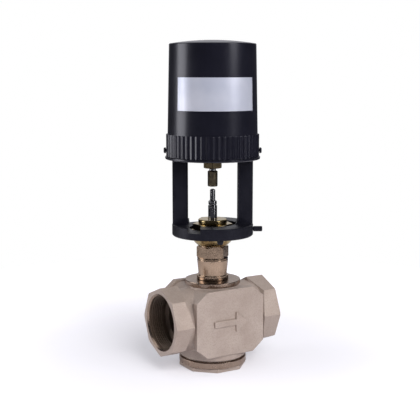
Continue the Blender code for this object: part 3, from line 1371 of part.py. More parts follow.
def make_gears(frame):
    bore = SCREW_R + RUN_GAP
    top = NUT_GEAR_BASE + NUT_GEAR_HEIGHT
    wheel = sheet_mesh(
        "spindle_gear", [gear_outline(NUT_TEETH, IDLER_ANGLE)], NUT_GEAR_BASE, top
    )
    gear = add_object("spindle_gear", wheel, BRASS, frame)
    hub = [
        (0.0, PLATE_TOP),
        (NUT_JOURNAL_R, PLATE_TOP),
        (NUT_JOURNAL_R, PLATE_BASE - SEAT_GAP),
        (NUT_HUB_R, PLATE_BASE - SEAT_GAP),
        (NUT_HUB_R, top - MM),
        (0.0, top - MM),
    ]
    hub = add_object("gear_hub", turned_mesh("gear_hub", hub, SMALL), None, frame)
    boolean(gear, hub, "UNION")
    drill = rod_profile(bore, NUT_GEAR_BASE - MM, PLATE_TOP + MM)
    drill = add_object("gear_bore", turned_mesh("gear_bore", drill, SMALL), None, frame)
    boolean(gear, drill, "DIFFERENCE")

    bush_low = FLOOR_TOP + SEAT_GAP
    bush = tube_profile(
        THRUST_BUSH_R, GUIDE_SPIGOT_R + FIT_GAP, bush_low, NUT_GEAR_BASE - SEAT_GAP
    )
    add_object("thrust_bush", turned_mesh("thrust_bush", bush, SMALL), WHITE_PLASTIC, frame)

    centre = Vector((*idler_centre(), 0.0))
    motor = Vector((*motor_centre(), 0.0))
    toward = math.atan2(motor.y - centre.y, motor.x - centre.x)
    facing = IDLER_ANGLE + math.pi + math.pi / IDLER_PINION_TEETH
    pinion = sheet_mesh(
        "idler_gear",
        [gear_outline(IDLER_PINION_TEETH, facing)],
        NUT_GEAR_BASE + SEAT_GAP,
        IDLER_WHEEL_BASE + MM,
    )
    idler = add_object("idler_gear", pinion, BRASS, frame, centre)
    wheel = sheet_mesh(
        "idler_wheel",
        [gear_outline(IDLER_WHEEL_TEETH, toward)],
        IDLER_WHEEL_BASE,
        IDLER_WHEEL_BASE + IDLER_WHEEL_HEIGHT,
    )
    boolean(idler, add_object("idler_wheel", wheel, None, frame, centre), "UNION")
    shaft = rod_profile(IDLER_SHAFT_R, FLOOR_TOP - IDLER_SHAFT_SINK, PLATE_TOP)
    mesh = turned_mesh("idler_shaft", shaft, TINY)
    shaft = add_object("idler_shaft", mesh, None, frame, centre)
    boolean(idler, shaft, "UNION")

    facing = toward + math.pi + math.pi / MOTOR_TEETH
    small = sheet_mesh(
        "motor_pinion",
        [gear_outline(MOTOR_TEETH, facing)],
        IDLER_WHEEL_BASE - 0.5 * MM,
        IDLER_WHEEL_BASE + IDLER_WHEEL_HEIGHT + 0.5 * MM,
    )
    small = add_object("motor_pinion", small, STEEL, frame, motor)
    shaft = rod_profile(
        MOTOR_SHAFT_R, IDLER_WHEEL_BASE + IDLER_WHEEL_HEIGHT - MM, MOTOR_BASE + 5 * MM
    )
    mesh = turned_mesh("motor_shaft", shaft, TINY)
    shaft = add_object("motor_shaft", mesh, None, frame, motor)
    boolean(small, shaft, "UNION")


def make_gear_plate(frame):
    motor = motor_centre()
    idler = idler_centre()
    outlines = [
        circle(PLATE_R, ROUND),
        circle(NUT_JOURNAL_R + RUN_GAP, SMALL),
        circle(IDLER_SHAFT_R + RUN_GAP, TINY, idler),
        circle(MOTOR_SHAFT_R + 3.0 * MM, TINY, motor),
    ]
    rod = (GUIDE_ROD_OFFSET, 0.0)
    outlines.append(circle(GUIDE_ROD_R + FIT_GAP, TINY, rod))
    plate = sheet_mesh("gear_plate", outlines, PLATE_BASE, PLATE_TOP)
    add_object("gear_plate", plate, STEEL, frame)

    for number, angle in enumerate(PILLAR_ANGLES, 1):
        post = turned_mesh(
            "plate_pillar",
            rod_profile(PILLAR_R, FLOOR_TOP + SEAT_GAP, PLATE_BASE - SEAT_GAP, 0.4 * MM),
            TINY,
        )
        place = (*polar(PILLAR_OFFSET, math.radians(angle)), 0.0)
        add_object(f"plate_pillar_{number}", post, BRASS, frame, place)

    can = [
        (0.0, MOTOR_BASE + MOTOR_HEIGHT),
        (MOTOR_R - 1.5 * MM, MOTOR_BASE + MOTOR_HEIGHT),
        (MOTOR_R, MOTOR_BASE + MOTOR_HEIGHT - 1.5 * MM),
        (MOTOR_R, MOTOR_BASE),
        (MOTOR_SHAFT_R + RUN_GAP, MOTOR_BASE),
        (MOTOR_SHAFT_R + RUN_GAP, MOTOR_BASE + 6 * MM),
        (0.0, MOTOR_BASE + 6 * MM),
    ]
    motor_at = (*motor, 0.0)
    add_object("motor", turned_mesh("motor", can, ROUND), STEEL, frame, motor_at)


# ---- travel stop, switches and board ---------------------------------------------------------
def make_travel_sensing(frame):
    """The arm on the spindle's stub slides on a rod and trips a switch at each end."""
    reach = TRIP_ARM_REACH
    half = TRIP_ARM_HALF_WIDTH
    boss = half + 1.5 * MM
    outline = [(reach, -half), (reach, half), (0.0, boss)]
    outline += [polar(boss, math.radians(angle)) for angle in (120, 150, 180, 210, 240)]
    outline += [(0.0, -boss)]
    arm = sheet_mesh(
        "trip_arm",
        [
            outline,
            circle(STUB_R + FIT_GAP, TINY),
            circle(GUIDE_ROD_R + RUN_GAP, TINY, (GUIDE_ROD_OFFSET, 0.0)),
        ],
        TRIP_ARM_BASE,
        TRIP_ARM_BASE + TRIP_ARM_THICK,
    )
    add_object("trip_arm", arm, STEEL, frame)

    rod_low = PLATE_BASE - 2.0 * MM
    rod = rod_profile(GUIDE_ROD_R, rod_low, BOARD_BASE - SEAT_GAP, 0.4 * MM)
    place = (GUIDE_ROD_OFFSET, 0.0, 0.0)
    add_object("guide_rod", turned_mesh("guide_rod", rod, TINY), STEEL, frame, place)

    far = BRACKET_OFFSET
    near = far - BRACKET_THICK
    low = PLATE_TOP + SEAT_GAP
    high = BOARD_BASE - SEAT_GAP
    width = BRACKET_HALF_WIDTH
    bracket = box_mesh("switch_bracket", (near, -width, low), (far, width, high))
    bracket = add_object("switch_bracket", bracket, STEEL, frame)
    foot_end = far + BRACKET_FOOT
    foot = box_mesh("foot", (far - MM, -width, low), (foot_end, width, low + BRACKET_THICK))
    boolean(bracket, add_object("bracket_foot", foot, None, frame), "UNION")

    length, depth, height = SWITCH_SIZE
    low_top = TRIP_ARM_BASE - STROKE - SEAT_GAP
    high_low = TRIP_ARM_BASE + TRIP_ARM_THICK + SEAT_GAP
    back = near - SEAT_GAP
    for name, base in (("closed", low_top - height), ("open", high_low)):
        switch = box_mesh(
            "limit_switch",
            (back - length, -depth / 2, base),
            (back, depth / 2, base + height),
        )
        add_object("limit_switch_" + name, switch, BLACK_PLASTIC, frame)


def make_board(frame):
    board = sheet_mesh(
        "circuit_board", [circle(BOARD_R, ROUND)], BOARD_BASE, BOARD_BASE + BOARD_THICK
    )
    add_object("circuit_board", board, GREEN_BOARD, frame)
    for number, angle in enumerate(STANDOFF_ANGLES, 1):
        post = turned_mesh(
            "board_standoff",
            rod_profile(STANDOFF_R, PLATE_TOP + SEAT_GAP, BOARD_BASE - SEAT_GAP, 0.4 * MM),
            TINY,
        )
        place = (*polar(STANDOFF_OFFSET, math.radians(angle)), 0.0)
        add_object(f"board_standoff_{number}", post, BRASS, frame, place)
    length, depth, height = BLOCK_SIZE
    x, y = BLOCK_AT
    low = BOARD_BASE + BOARD_THICK + SEAT_GAP
    block = box_mesh(
        "terminal_block",
        (x - length / 2, y - depth / 2, low),
        (x + length / 2, y + depth / 2, low + height),
    )
    add_object("terminal_block", block, GREEN_PLASTIC, frame)


def make_valve():
    frame = bpy.data.objects.new("actuator_axis", None)
    frame.rotation_euler = (0.0, 0.0, ACTUATOR_TURN)
    PARTS.objects.link(frame)
    make_valve_body()
    make_bottom_cap()
    make_seat_ring()
    make_bonnet()
    make_gland()
    make_yoke(frame)
    make_yoke_fastening(frame)
    make_stem()
    make_spindle(frame)
    make_base(frame)
    make_cover(frame)
    make_gears(frame)
    make_gear_plate(frame)
    make_travel_sensing(frame)
    make_board(frame)
    for part in list(PARTS.objects):
        if part.type == "MESH" and part.modifiers:
            settle(part)


make_valve()
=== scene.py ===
"""Looks of the motorised zone valve: cast bronze body, turned neck and brass fittings, a
black yoke and a round black cover with a bare silver plate, on a pale floor."""

import json
import math

import bmesh
import bpy
from mathutils import Matrix, Vector


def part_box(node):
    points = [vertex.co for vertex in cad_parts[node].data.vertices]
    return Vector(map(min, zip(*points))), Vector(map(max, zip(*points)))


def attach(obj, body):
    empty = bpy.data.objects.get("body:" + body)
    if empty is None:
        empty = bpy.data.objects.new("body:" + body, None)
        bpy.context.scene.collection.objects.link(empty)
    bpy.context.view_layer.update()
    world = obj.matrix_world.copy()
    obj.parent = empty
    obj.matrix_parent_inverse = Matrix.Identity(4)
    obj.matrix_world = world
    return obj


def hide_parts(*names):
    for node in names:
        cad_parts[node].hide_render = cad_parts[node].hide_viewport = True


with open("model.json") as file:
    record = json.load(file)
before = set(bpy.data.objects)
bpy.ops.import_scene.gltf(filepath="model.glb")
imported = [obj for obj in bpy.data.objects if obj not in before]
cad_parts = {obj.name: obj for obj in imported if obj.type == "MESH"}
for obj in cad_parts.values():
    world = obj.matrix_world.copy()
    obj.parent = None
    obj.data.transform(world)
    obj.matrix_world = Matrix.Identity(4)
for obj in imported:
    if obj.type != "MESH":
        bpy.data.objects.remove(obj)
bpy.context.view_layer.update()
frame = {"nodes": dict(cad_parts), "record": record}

MM = 0.001
STATIC = "valve"

# ---- the photograph's camera, fitted to its outlines --------------------------------------------
PHOTO_PIXELS = 420
FOCAL_PIXELS = 928.8
SENSOR_WIDTH = 36.0
CAMERA_AZIMUTH = math.radians(-31.01)
CAMERA_ELEVATION = math.radians(8.7)
CAMERA_DISTANCE = 1.0175
AIM_HEIGHT = 0.17384
AIM_SIDE = -0.00286

# ---- the actuator is turned about the stem's axis -----------------------------------------------
ACTUATOR_TURN = math.radians(-31.0)
TURNED = Matrix.Rotation(ACTUATOR_TURN, 4, "Z")
STRAIGHT = Matrix.Identity(4)

# ---- sizes of the body's casting ----------------------------------------------------------------
PORT_Z = 56.0 * MM
FACE_HALF = 66.0 * MM
COLLAR_R = 38.0 * MM
COLLAR_LENGTH = 21.6 * MM
COLLAR_CHAMFER = 0.5 * MM
COLLAR_BACK_CUT = 6.0 * MM
NECK_R = 34.0 * MM
NECK_HALF = 51.0 * MM
BLOCK_HALF_WIDTH = 42.4 * MM
BLOCK_HALF_HEIGHT = 36.4 * MM
BLOCK_HALF_DEPTH = 36.0 * MM
BLOCK_CORNER = (13.5 * MM, 11.0 * MM)
BLOCK_ROUND = 4.5 * MM
PAD_HALF_DEPTH = 38.4 * MM
PAD_INSET = 5.0 * MM
PAD_BORDER = 1.6 * MM
BARREL_R = 36.6 * MM
BAND_R = 37.2 * MM
BAND_GROOVE_R = 33.6 * MM
BAND_TOP = 11.3 * MM
BARREL_BOTTOM = 13.0 * MM
BODY_BOTTOM = 4.6 * MM
BOSS_R = 30.5 * MM
BOSS_TOP = 97.6 * MM
BOSS_LOW = 92.4 * MM
BOSS_GROOVE_R = 28.6 * MM
PORT_BORE_R = 29.4 * MM
PORT_BORE_DEPTH = 22.0 * MM
PASSAGE_R = 25.0 * MM
CHAMBER_R = 27.0 * MM
CHAMBER_TOP = 87.9 * MM
WEB_LOW = 52.0 * MM
WEB_HIGH = 60.0 * MM
CAP_BORE_R = 30.5 * MM
CAP_BORE_TOP = 15.0 * MM
SEAT_HOLE_R = 23.3 * MM
BONNET_HOLE_R = 16.8 * MM
THREAD_PITCH = 2.309 * MM
THREAD_DEPTH = 1.1 * MM
CAST_VOXEL = 0.8 * MM
ROUND_STEPS = 128

# ---- cover and label ----------------------------------------------------------------------------
COVER_LOW_R = 48.7 * MM
COVER_TOP_R = 46.7 * MM
COVER_WALL = 2.2 * MM
COVER_EDGE = 1.3 * MM
COVER_CROWN = 3.6 * MM
SKIRT_HEIGHT = 24.0 * MM
SKIRT_R = 50.4 * MM
SKIRT_INNER_R = 47.8 * MM
FLUTES = 56
FLUTE_STEPS = 12
FLUTE_DEPTH = 0.9 * MM
LABEL_ANGLES = (math.radians(-50.0), math.radians(60.0))  # from the camera's direction
LABEL_LEVELS = (283.5 * MM, 318.0 * MM)
LABEL_THICKNESS = 0.35 * MM

# ---- flow arrow ---------------------------------------------------------------------------------
ARROW_HALF = 21.0 * MM
ARROW_HEAD_LENGTH = 15.0 * MM
ARROW_HEAD_HALF = 11.0 * MM
ARROW_SHAFT_HALF = 3.2 * MM
ARROW_HEIGHT = 2.2 * MM

# ---- bonnet -------------------------------------------------------------------------------------
BONNET_HEX_R = 17.9 * MM
BONNET_HEX_TURN = math.radians(-21.0)
BONNET_VENT_R = 1.2 * MM
BONNET_VENT_TURN = math.radians(-53.0)
YOKE_NUT_R = 22.1 * MM

# ---- floor --------------------------------------------------------------------------------------
FLOOR_R = 0.6
SHADOW_R = (0.1, 0.5)  # the floor's own white rises between these distances from the stem; nearer in, the weaker glow is a painted shade round the valve
SHADOW_GLOW = (0.27, 0.75)


# =============================== materials =======================================================
class Nodes:
    """A small helper to write a node material as a few readable lines."""

    def __init__(self, name):
        self.material = bpy.data.materials.new(name)
        self.material.use_nodes = True
        self.tree = self.material.node_tree
        self.shader = self.tree.nodes["Principled BSDF"]
        self.coords = self.tree.nodes.new("ShaderNodeTexCoord")

    def set(self, **values):
        for name, value in values.items():
            socket = self.shader.inputs[name.replace("_", " ")]
            socket.default_value = value

    def link(self, source, target):
        self.tree.links.new(source, target)

    def mapped(self, stretch=(1, 1, 1), turn=(0, 0, 0)):
        mapping = self.tree.nodes.new("ShaderNodeMapping")
        mapping.inputs["Scale"].default_value = stretch
        mapping.inputs["Rotation"].default_value = turn
        self.link(self.coords.outputs["Object"], mapping.inputs["Vector"])
        return mapping.outputs["Vector"]

    def noise(self, scale, detail=3.0, stretch=(1, 1, 1), roughness=0.5, turn=(0, 0, 0)):
        node = self.tree.nodes.new("ShaderNodeTexNoise")
        node.inputs["Scale"].default_value = scale
        node.inputs["Detail"].default_value = detail
        node.inputs["Roughness"].default_value = roughness
        self.link(self.mapped(stretch, turn), node.inputs["Vector"])
        return node.outputs["Fac"]

    def ramp(self, fac, low, high, start=0.3, end=0.7):
        node = self.tree.nodes.new("ShaderNodeValToRGB")
        node.color_ramp.elements[0].position = start
        node.color_ramp.elements[1].position = end
        node.color_ramp.elements[0].color = (*low, 1.0)
        node.color_ramp.elements[1].color = (*high, 1.0)
        self.link(fac, node.inputs["Fac"])
        return node.outputs["Color"]

    def span(self, fac, low, high, start=0.3, end=0.7):
        node = self.tree.nodes.new("ShaderNodeMapRange")
        node.inputs["From Min"].default_value = start
        node.inputs["From Max"].default_value = end
        node.inputs["To Min"].default_value = low
        node.inputs["To Max"].default_value = high
        self.link(fac, node.inputs["Value"])
        return node.outputs["Result"]

    def mix(self, fac, first, second):
        node = self.tree.nodes.new("ShaderNodeMix")
        node.data_type = "RGBA"
        self.link(fac, node.inputs[0])
        for socket, value in ((node.inputs[6], first), (node.inputs[7], second)):
            if isinstance(value, tuple):
                socket.default_value = (*value, 1.0)
            else:
                self.link(value, socket)
        return node.outputs[2]

    def bump(self, height, strength, distance, under=None):
        node = self.tree.nodes.new("ShaderNodeBump")
        node.inputs["Strength"].default_value = strength
        node.inputs["Distance"].default_value = distance
        self.link(height, node.inputs["Height"])
        if under is not None:
            self.link(under, node.inputs["Normal"])
        return node.outputs["Normal"]

    def colour(self, source):
        self.link(source, self.shader.inputs["Base Color"])

    def rough(self, source):
        self.link(source, self.shader.inputs["Roughness"])

    def normal(self, source):
        self.link(source, self.shader.inputs["Normal"])


def cast_bronze(name="cast_bronze", dark=(0.40, 0.318, 0.275), light=(0.48, 0.395, 0.35)):
    """Fine sand-cast skin with a dull bloom and small pits."""
    n = Nodes(name)
    n.set(Metallic=0.5)
    tone = n.ramp(n.noise(45.0, 4.0), dark, light)
    speck = n.span(n.noise(900.0, 2.0), 0.0, 0.5, 0.45, 0.7)
    n.colour(n.mix(speck, tone, tuple(0.8 * value for value in dark)))
    n.rough(n.span(n.noise(120.0, 4.0), 0.44, 0.58))
    grain = n.bump(n.noise(1500.0, 3.0, roughness=0.65), 0.35, 0.12 * MM)
    n.normal(n.bump(n.noise(260.0, 3.0), 0.25, 0.25 * MM, grain))
    return n.material


def machined(name, dark, light, metallic=1.0, rough=(0.2, 0.34), tool=0.02):
    """Turned metal: fine rings along Z left by the tool, with slight tarnish."""
    n = Nodes(name)
    n.set(Metallic=metallic)
    n.colour(n.ramp(n.noise(70.0, 3.0), dark, light))
    n.rough(n.span(n.noise(160.0, 3.0), *rough))
    n.normal(n.bump(n.noise(900.0, 1.0, stretch=(0.02, 0.02, 1.0)), tool, 0.05 * MM))
    return n.material


def knurled(name, dark, light):
    """Coarse knurl: two crossing sets of ridges on a small round piece."""
    n = Nodes(name)
    n.set(Metallic=1.0)
    n.colour(n.ramp(n.noise(300.0, 2.0), dark, light))
    n.rough(n.span(n.noise(400.0, 2.0), 0.3, 0.45))
    waves = []
    for tilt in (0.8, -0.8):
        wave = n.tree.nodes.new("ShaderNodeTexWave")
        wave.wave_type = "BANDS"
        wave.bands_direction = "X"
        wave.inputs["Scale"].default_value = 320.0
        n.link(n.mapped(turn=(0.0, tilt, 0.4)), wave.inputs["Vector"])
        waves.append(wave.outputs["Fac"])
    first = n.bump(waves[0], 0.5, 0.2 * MM)
    n.normal(n.bump(waves[1], 0.5, 0.2 * MM, first))
    return n.material


def black_plastic():
    """Moulded satin skin, nearly black with a trace of blue, with a fine texture."""
    n = Nodes("black_plastic")
    n.set(Specular_IOR_Level=0.5, Specular_Tint=(0.88, 0.88, 1.0, 1.0))
    n.set(Coat_Weight=0.5, Coat_Roughness=0.22, Coat_Tint=(0.9, 0.9, 1.0, 1.0))
    n.colour(n.ramp(n.noise(30.0, 2.0), (0.003, 0.003, 0.006), (0.005, 0.005, 0.009)))
    n.rough(n.span(n.noise(80.0, 3.0), 0.30, 0.36))
    n.normal(n.bump(n.noise(2600.0, 2.0), 0.12, 0.05 * MM))
    return n.material


def black_coat():
    """Stoved black coat on the cast yoke, slightly orange-peeled."""
    n = Nodes("black_coat")
    n.set(Metallic=0.0, Specular_IOR_Level=0.36, Specular_Tint=(0.82, 0.82, 1.0, 1.0))
    n.colour(n.ramp(n.noise(50.0, 2.0), (0.003, 0.003, 0.0055), (0.0065, 0.0065, 0.010)))
    n.rough(n.span(n.noise(90.0, 3.0), 0.34, 0.46))
    n.normal(n.bump(n.noise(1300.0, 2.0), 0.2, 0.08 * MM))
    return n.material


def silver_plate():
    """Matt silver film with a cool tint and very fine brushing."""
    n = Nodes("silver_plate")
    n.set(Metallic=0.45)
    n.colour(n.ramp(n.noise(40.0, 2.0), (0.46, 0.48, 0.58), (0.55, 0.56, 0.65)))
    n.rough(n.span(n.noise(500.0, 2.0, stretch=(1, 1, 0.05)), 0.30, 0.42))
    return n.material


def plain(name, dark, light, metallic, rough):
    n = Nodes(name)
    n.set(Metallic=metallic)
    n.colour(n.ramp(n.noise(90.0, 2.0), dark, light))
    n.rough(n.span(n.noise(220.0, 2.0), *rough))
    n.normal(n.bump(n.noise(1200.0, 2.0), 0.15, 0.05 * MM))
    return n.material


LOOKS = {
    "cast_bronze": cast_bronze(),
    # The bores and port threads get a much darker bronze: painted shade inside the ports and
    # chambers.
    "bore_bronze_painted_shade": cast_bronze("bore_bronze_painted_shade", (0.085, 0.058, 0.042), (0.13, 0.092, 0.068)),
    "turned_bronze": machined(
        "turned_bronze", (0.34, 0.25, 0.195), (0.44, 0.335, 0.27), metallic=1.0, rough=(0.24, 0.34)
    ),
    "machined_bronze": machined(
        "machined_bronze", (0.42, 0.30, 0.215), (0.53, 0.39, 0.285), rough=(0.2, 0.28)
    ),
    "brass": machined("brass", (0.46, 0.35, 0.17), (0.60, 0.47, 0.25), rough=(0.16, 0.26)),
    # The coupling's brass is made dark as a painted shade for the dark surroundings it reflects.
    "dull_brass": knurled("dull_brass", (0.10, 0.085, 0.06), (0.18, 0.15, 0.10)),
    # A dark copy of the brass: its darkness is painted shade for the dark cover underside that the
    # guide nut reflects.
    "olive_brass_painted_shade": machined(
        "olive_brass_painted_shade", (0.13, 0.10, 0.06), (0.22, 0.17, 0.10), rough=(0.3, 0.4)
    ),
    "polished_steel": machined(
        "polished_steel", (0.55, 0.55, 0.57), (0.70, 0.70, 0.72), rough=(0.07, 0.13), tool=0.0
    ),
    "steel": machined("steel", (0.42, 0.42, 0.44), (0.56, 0.56, 0.58)),
    "black_metal": black_coat(),
    "black_plastic": black_plastic(),
    "white_plastic": plain("white_plastic", (0.7, 0.69, 0.64), (0.8, 0.79, 0.74), 0.0, (0.4, 0.5)),
    "graphite": plain("graphite", (0.03, 0.03, 0.03), (0.07, 0.07, 0.07), 0.0, (0.6, 0.8)),
    "rubber": plain("rubber", (0.012, 0.012, 0.013), (0.022, 0.022, 0.023), 0.0, (0.65, 0.8)),
    "board_green": plain("board_green", (0.01, 0.10, 0.04), (0.02, 0.16, 0.06), 0.0, (0.3, 0.45)),
    "terminal_green": plain("terminal_green", (0.02, 0.2, 0.06), (0.04, 0.3, 0.1), 0.0, (0.4, 0.5)),
    "silver_plate": silver_plate(),
}


# =============================== mesh helpers ====================================================
def mesh_of(work, name):
    mesh = bpy.data.meshes.new(name)
    work.to_mesh(mesh)
    work.free()
    return mesh


def loose(name, mesh):
    obj = bpy.data.objects.new(name, mesh)
    bpy.context.scene.collection.objects.link(obj)
    return obj


def applied(obj, name):
    """The object with its modifiers applied, as a new mesh."""
    bpy.context.view_layer.update()
    graph = bpy.context.evaluated_depsgraph_get()
    mesh = bpy.data.meshes.new_from_object(obj.evaluated_get(graph))
    mesh.name = name
    return mesh


def discard(*objects):
    for obj in objects:
        bpy.data.objects.remove(obj, do_unlink=True)


def smooth(obj, angle=38.0, weighted=True):
    obj.data.shade_smooth()
    obj.data.set_sharp_from_angle(angle=math.radians(angle))
    if weighted:
        modifier = obj.modifiers.new("Weighted normals", "WEIGHTED_NORMAL")
        modifier.keep_sharp = True


def softened(profile, radius, closed):
    """Rounds the corners of a profile of (radius, height) points."""
    result = []
    count = len(profile)
    for index, point in enumerate(profile):
        here = Vector(point)
        ends = index in (0, count - 1)
        if (ends and not closed) or here.x < 1e-7:
            result.append(tuple(here))
            continue
        before = Vector(profile[index - 1]) - here
        after = Vector(profile[(index + 1) % count]) - here
        if before.length < 1e-7 or after.length < 1e-7:
            continue
        turn = math.pi - before.angle(after)
        if turn < math.radians(18.0):
            result.append(tuple(here))
            continue
        back = min(radius, before.length * 0.42, after.length * 0.42)
        start = here + before.normalized() * back
        end = here + after.normalized() * back
        steps = 3 if turn > math.radians(50.0) else 2
        for step in range(steps + 1):
            t = step / steps
            spot = start * (1 - t) ** 2 + here * 2 * t * (1 - t) + end * t**2
            result.append(tuple(spot))
    return result


def spun(name, profile, steps=ROUND_STEPS, closed=None):
    """Revolves (radius, height) points round Z. The profile runs down its outer side."""
    if closed is None:
        closed = profile[0][0] > 1e-7
    work = bmesh.new()
    columns = []
    for radius, height in profile:
        if radius < 1e-7:
            columns.append([work.verts.new((0.0, 0.0, height))] * steps)
            continue
        ring = []
        for step in range(steps):
            angle = 2 * math.pi * step / steps
            ring.append(
                work.verts.new((radius * math.cos(angle), radius * math.sin(angle), height))
            )
        columns.append(ring)
    pairs = list(zip(columns, columns[1:]))
    if closed:
        pairs.append((columns[-1], columns[0]))
    for upper, lower in pairs:
        for step in range(steps):
            following = (step + 1) % steps
            corners = [upper[step], lower[step], lower[following], upper[following]]
            unique = []
            for corner in corners:
                if corner not in unique:
                    unique.append(corner)
            if len(unique) > 2:
                work.faces.new(unique)
    return mesh_of(work, name)


def prism(name, outline, low, high):
    """A flat outline of (x, y) points, counterclockwise, raised from low to high."""
    work = bmesh.new()
    bottom = [work.verts.new((x, y, low)) for x, y in outline]
    top = [work.verts.new((x, y, high)) for x, y in outline]
    work.faces.new(list(reversed(bottom)))
    work.faces.new(top)
    count = len(outline)
    for index in range(count):
        following = (index + 1) % count
        work.faces.new((bottom[index], bottom[following], top[following], top[index]))
    bmesh.ops.recalc_face_normals(work, faces=work.faces)
    return mesh_of(work, name)


def polygon(sides, radius, first):
    points = []
    for index in range(sides):
        angle = first + 2 * math.pi * index / sides
        points.append((radius * math.cos(angle), radius * math.sin(angle)))
    return points


def along_x(mesh):
    mesh.transform(Matrix.Rotation(math.pi / 2, 4, "Y"))
    return mesh


def upright(mesh):
    mesh.transform(Matrix.Rotation(math.pi / 2, 4, "X"))
    return mesh


def moved(mesh, *matrices):
    for matrix in matrices:
        mesh.transform(matrix)
    return mesh


def bevelled(obj, width, segments=2, angle=30.0):
    modifier = obj.modifiers.new("Rounded edges", "BEVEL")
    modifier.width = width
    modifier.segments = segments
    modifier.limit_method = "ANGLE"
    modifier.angle_limit = math.radians(angle)
    modifier.harden_normals = False
    return modifier


def carve(obj, other, operation, solver="MANIFOLD"):
    modifier = obj.modifiers.new(operation.title(), "BOOLEAN")
    modifier.operation = operation
    modifier.solver = solver
    modifier.object = other


def finished(obj, look, body=STATIC, nodes=()):
    """Gives a piece its material, its body and the nodes that it stands for."""
    obj.data.materials.clear()
    obj.data.materials.append(LOOKS[look])
    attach(obj, body)
    if nodes:
        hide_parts(*nodes)
    return obj


# =============================== turned nodes, made round ========================================
def node_profile(node, centre=(0.0, 0.0)):
    """Reads the profile of a turned node from its mesh: the chain of points at one angle."""
    mesh = frame["nodes"][node].data
    spots = {}
    index_of = {}
    for vertex in mesh.vertices:
        key = tuple(round(c, 6) for c in vertex.co)
        index_of[vertex.index] = key
        spots[key] = vertex.co
    offset = Vector((centre[0], centre[1], 0.0))
    polar = {}
    for key, co in spots.items():
        local = co - offset
        polar[key] = (math.hypot(local.x, local.y), math.atan2(local.y, local.x), local.z)
    first = next(value[1] for value in polar.values() if value[0] > 1e-5)
    column = set()
    for key, (radius, angle, _) in polar.items():
        gap = abs((angle - first + math.pi) % (2 * math.pi) - math.pi)
        if radius < 1e-6 or gap * radius < 1e-5:
            column.add(key)
    links = {key: set() for key in column}
    for edge in mesh.edges:
        start, end = (index_of[index] for index in edge.vertices)
        if start in column and end in column and start != end:
            links[start].add(end)
            links[end].add(start)
    tips = [key for key, near in links.items() if len(near) == 1]
    start = max(tips or links, key=lambda key: polar[key][2])
    chain = [start]
    current = start
    while True:
        ahead = [key for key in links[current] if key not in chain]
        if not ahead:
            break
        current = max(ahead, key=lambda key: polar[key][0]) if len(chain) == 1 else ahead[0]
        chain.append(current)
    return [(polar[key][0], polar[key][2]) for key in chain], not tips


def round_node(node, look, radius=0.35 * MM, centre=(0.0, 0.0), body=STATIC, steps=ROUND_STEPS):
    """Stands in for a turned node: the same profile, fully round and with soft corners."""
    profile, closed = node_profile(node, centre)
    mesh = spun(node + "_round", softened(profile, radius, closed), steps, closed)
    work = bmesh.new()
    work.from_mesh(mesh)
    bmesh.ops.recalc_face_normals(work, faces=work.faces)
    work.to_mesh(mesh)
    work.free()
    mesh.transform(Matrix.Translation((centre[0], centre[1], 0.0)))
    obj = loose(node + "_round", mesh)
    smooth(obj)
    return finished(obj, look, body, (node,))


# =============================== valve body ======================================================
def block_outline(border):
    width = BLOCK_HALF_WIDTH + border
    height = BLOCK_HALF_HEIGHT + border
    corner_x, corner_z = BLOCK_CORNER
    points = []
    for sx, sz in ((1, -1), (1, 1), (-1, 1), (-1, -1)):
        inner = (sx * (width - corner_x), PORT_Z + sz * height)
        outer = (sx * width, PORT_Z + sz * (height - corner_z))
        points += [inner, outer] if sx * sz < 0 else [outer, inner]
    return points


def collar_piece(side):
    """An octagonal collar, turned off at the face. Four slanted planes cut its back."""
    start = FACE_HALF - COLLAR_LENGTH
    past = FACE_HALF + MM
    name = "collar_left" if side < 0 else "collar_right"
    sides = loose(name, along_x(prism(name, polygon(8, COLLAR_R, 0.0), start, FACE_HALF)))
    face = COLLAR_R - 1.6 * COLLAR_CHAMFER
    over = COLLAR_R + 0.3 * MM
    profile = [
        (0.0, past),
        (face - 0.8 * MM, past),
        (face, FACE_HALF),
        (over, FACE_HALF - COLLAR_CHAMFER),
        (over, start - MM),
        (0.0, start - MM),
    ]
    turning = loose("turning", along_x(spun("turning", profile)))
    carve(sides, turning, "INTERSECT")
    widening = COLLAR_R * (math.sqrt(2.0) - 1.0) / COLLAR_BACK_CUT
    corners = [
        (COLLAR_R + 0.2 * MM + widening * (past - start), past),
        (COLLAR_R + 0.2 * MM - widening * MM, start - MM),
    ]
    back = loose("back", along_x(spun("back", [(0.0, past), *corners, (0.0, start - MM)], 4)))
    carve(sides, back, "INTERSECT")
    bevelled(sides, 0.6 * MM, 3, 20.0)
    mesh = applied(sides, name)
    discard(sides, turning, back)
    mesh.transform(Matrix.Rotation(math.pi if side < 0 else 0.0, 4, "Z"))
    mesh.transform(Matrix.Translation((0.0, 0.0, PORT_Z)))
    return loose(name, mesh)


def pad_piece(near, far):
    """A flat pad with cut corners, proud of the block."""
    pad = loose("pad", upright(prism("pad", block_outline(0.0), near, far)))
    bevelled(pad, 0.7 * MM, 3)
    mesh = applied(pad, "pad")
    discard(pad)
    return loose("pad", mesh)


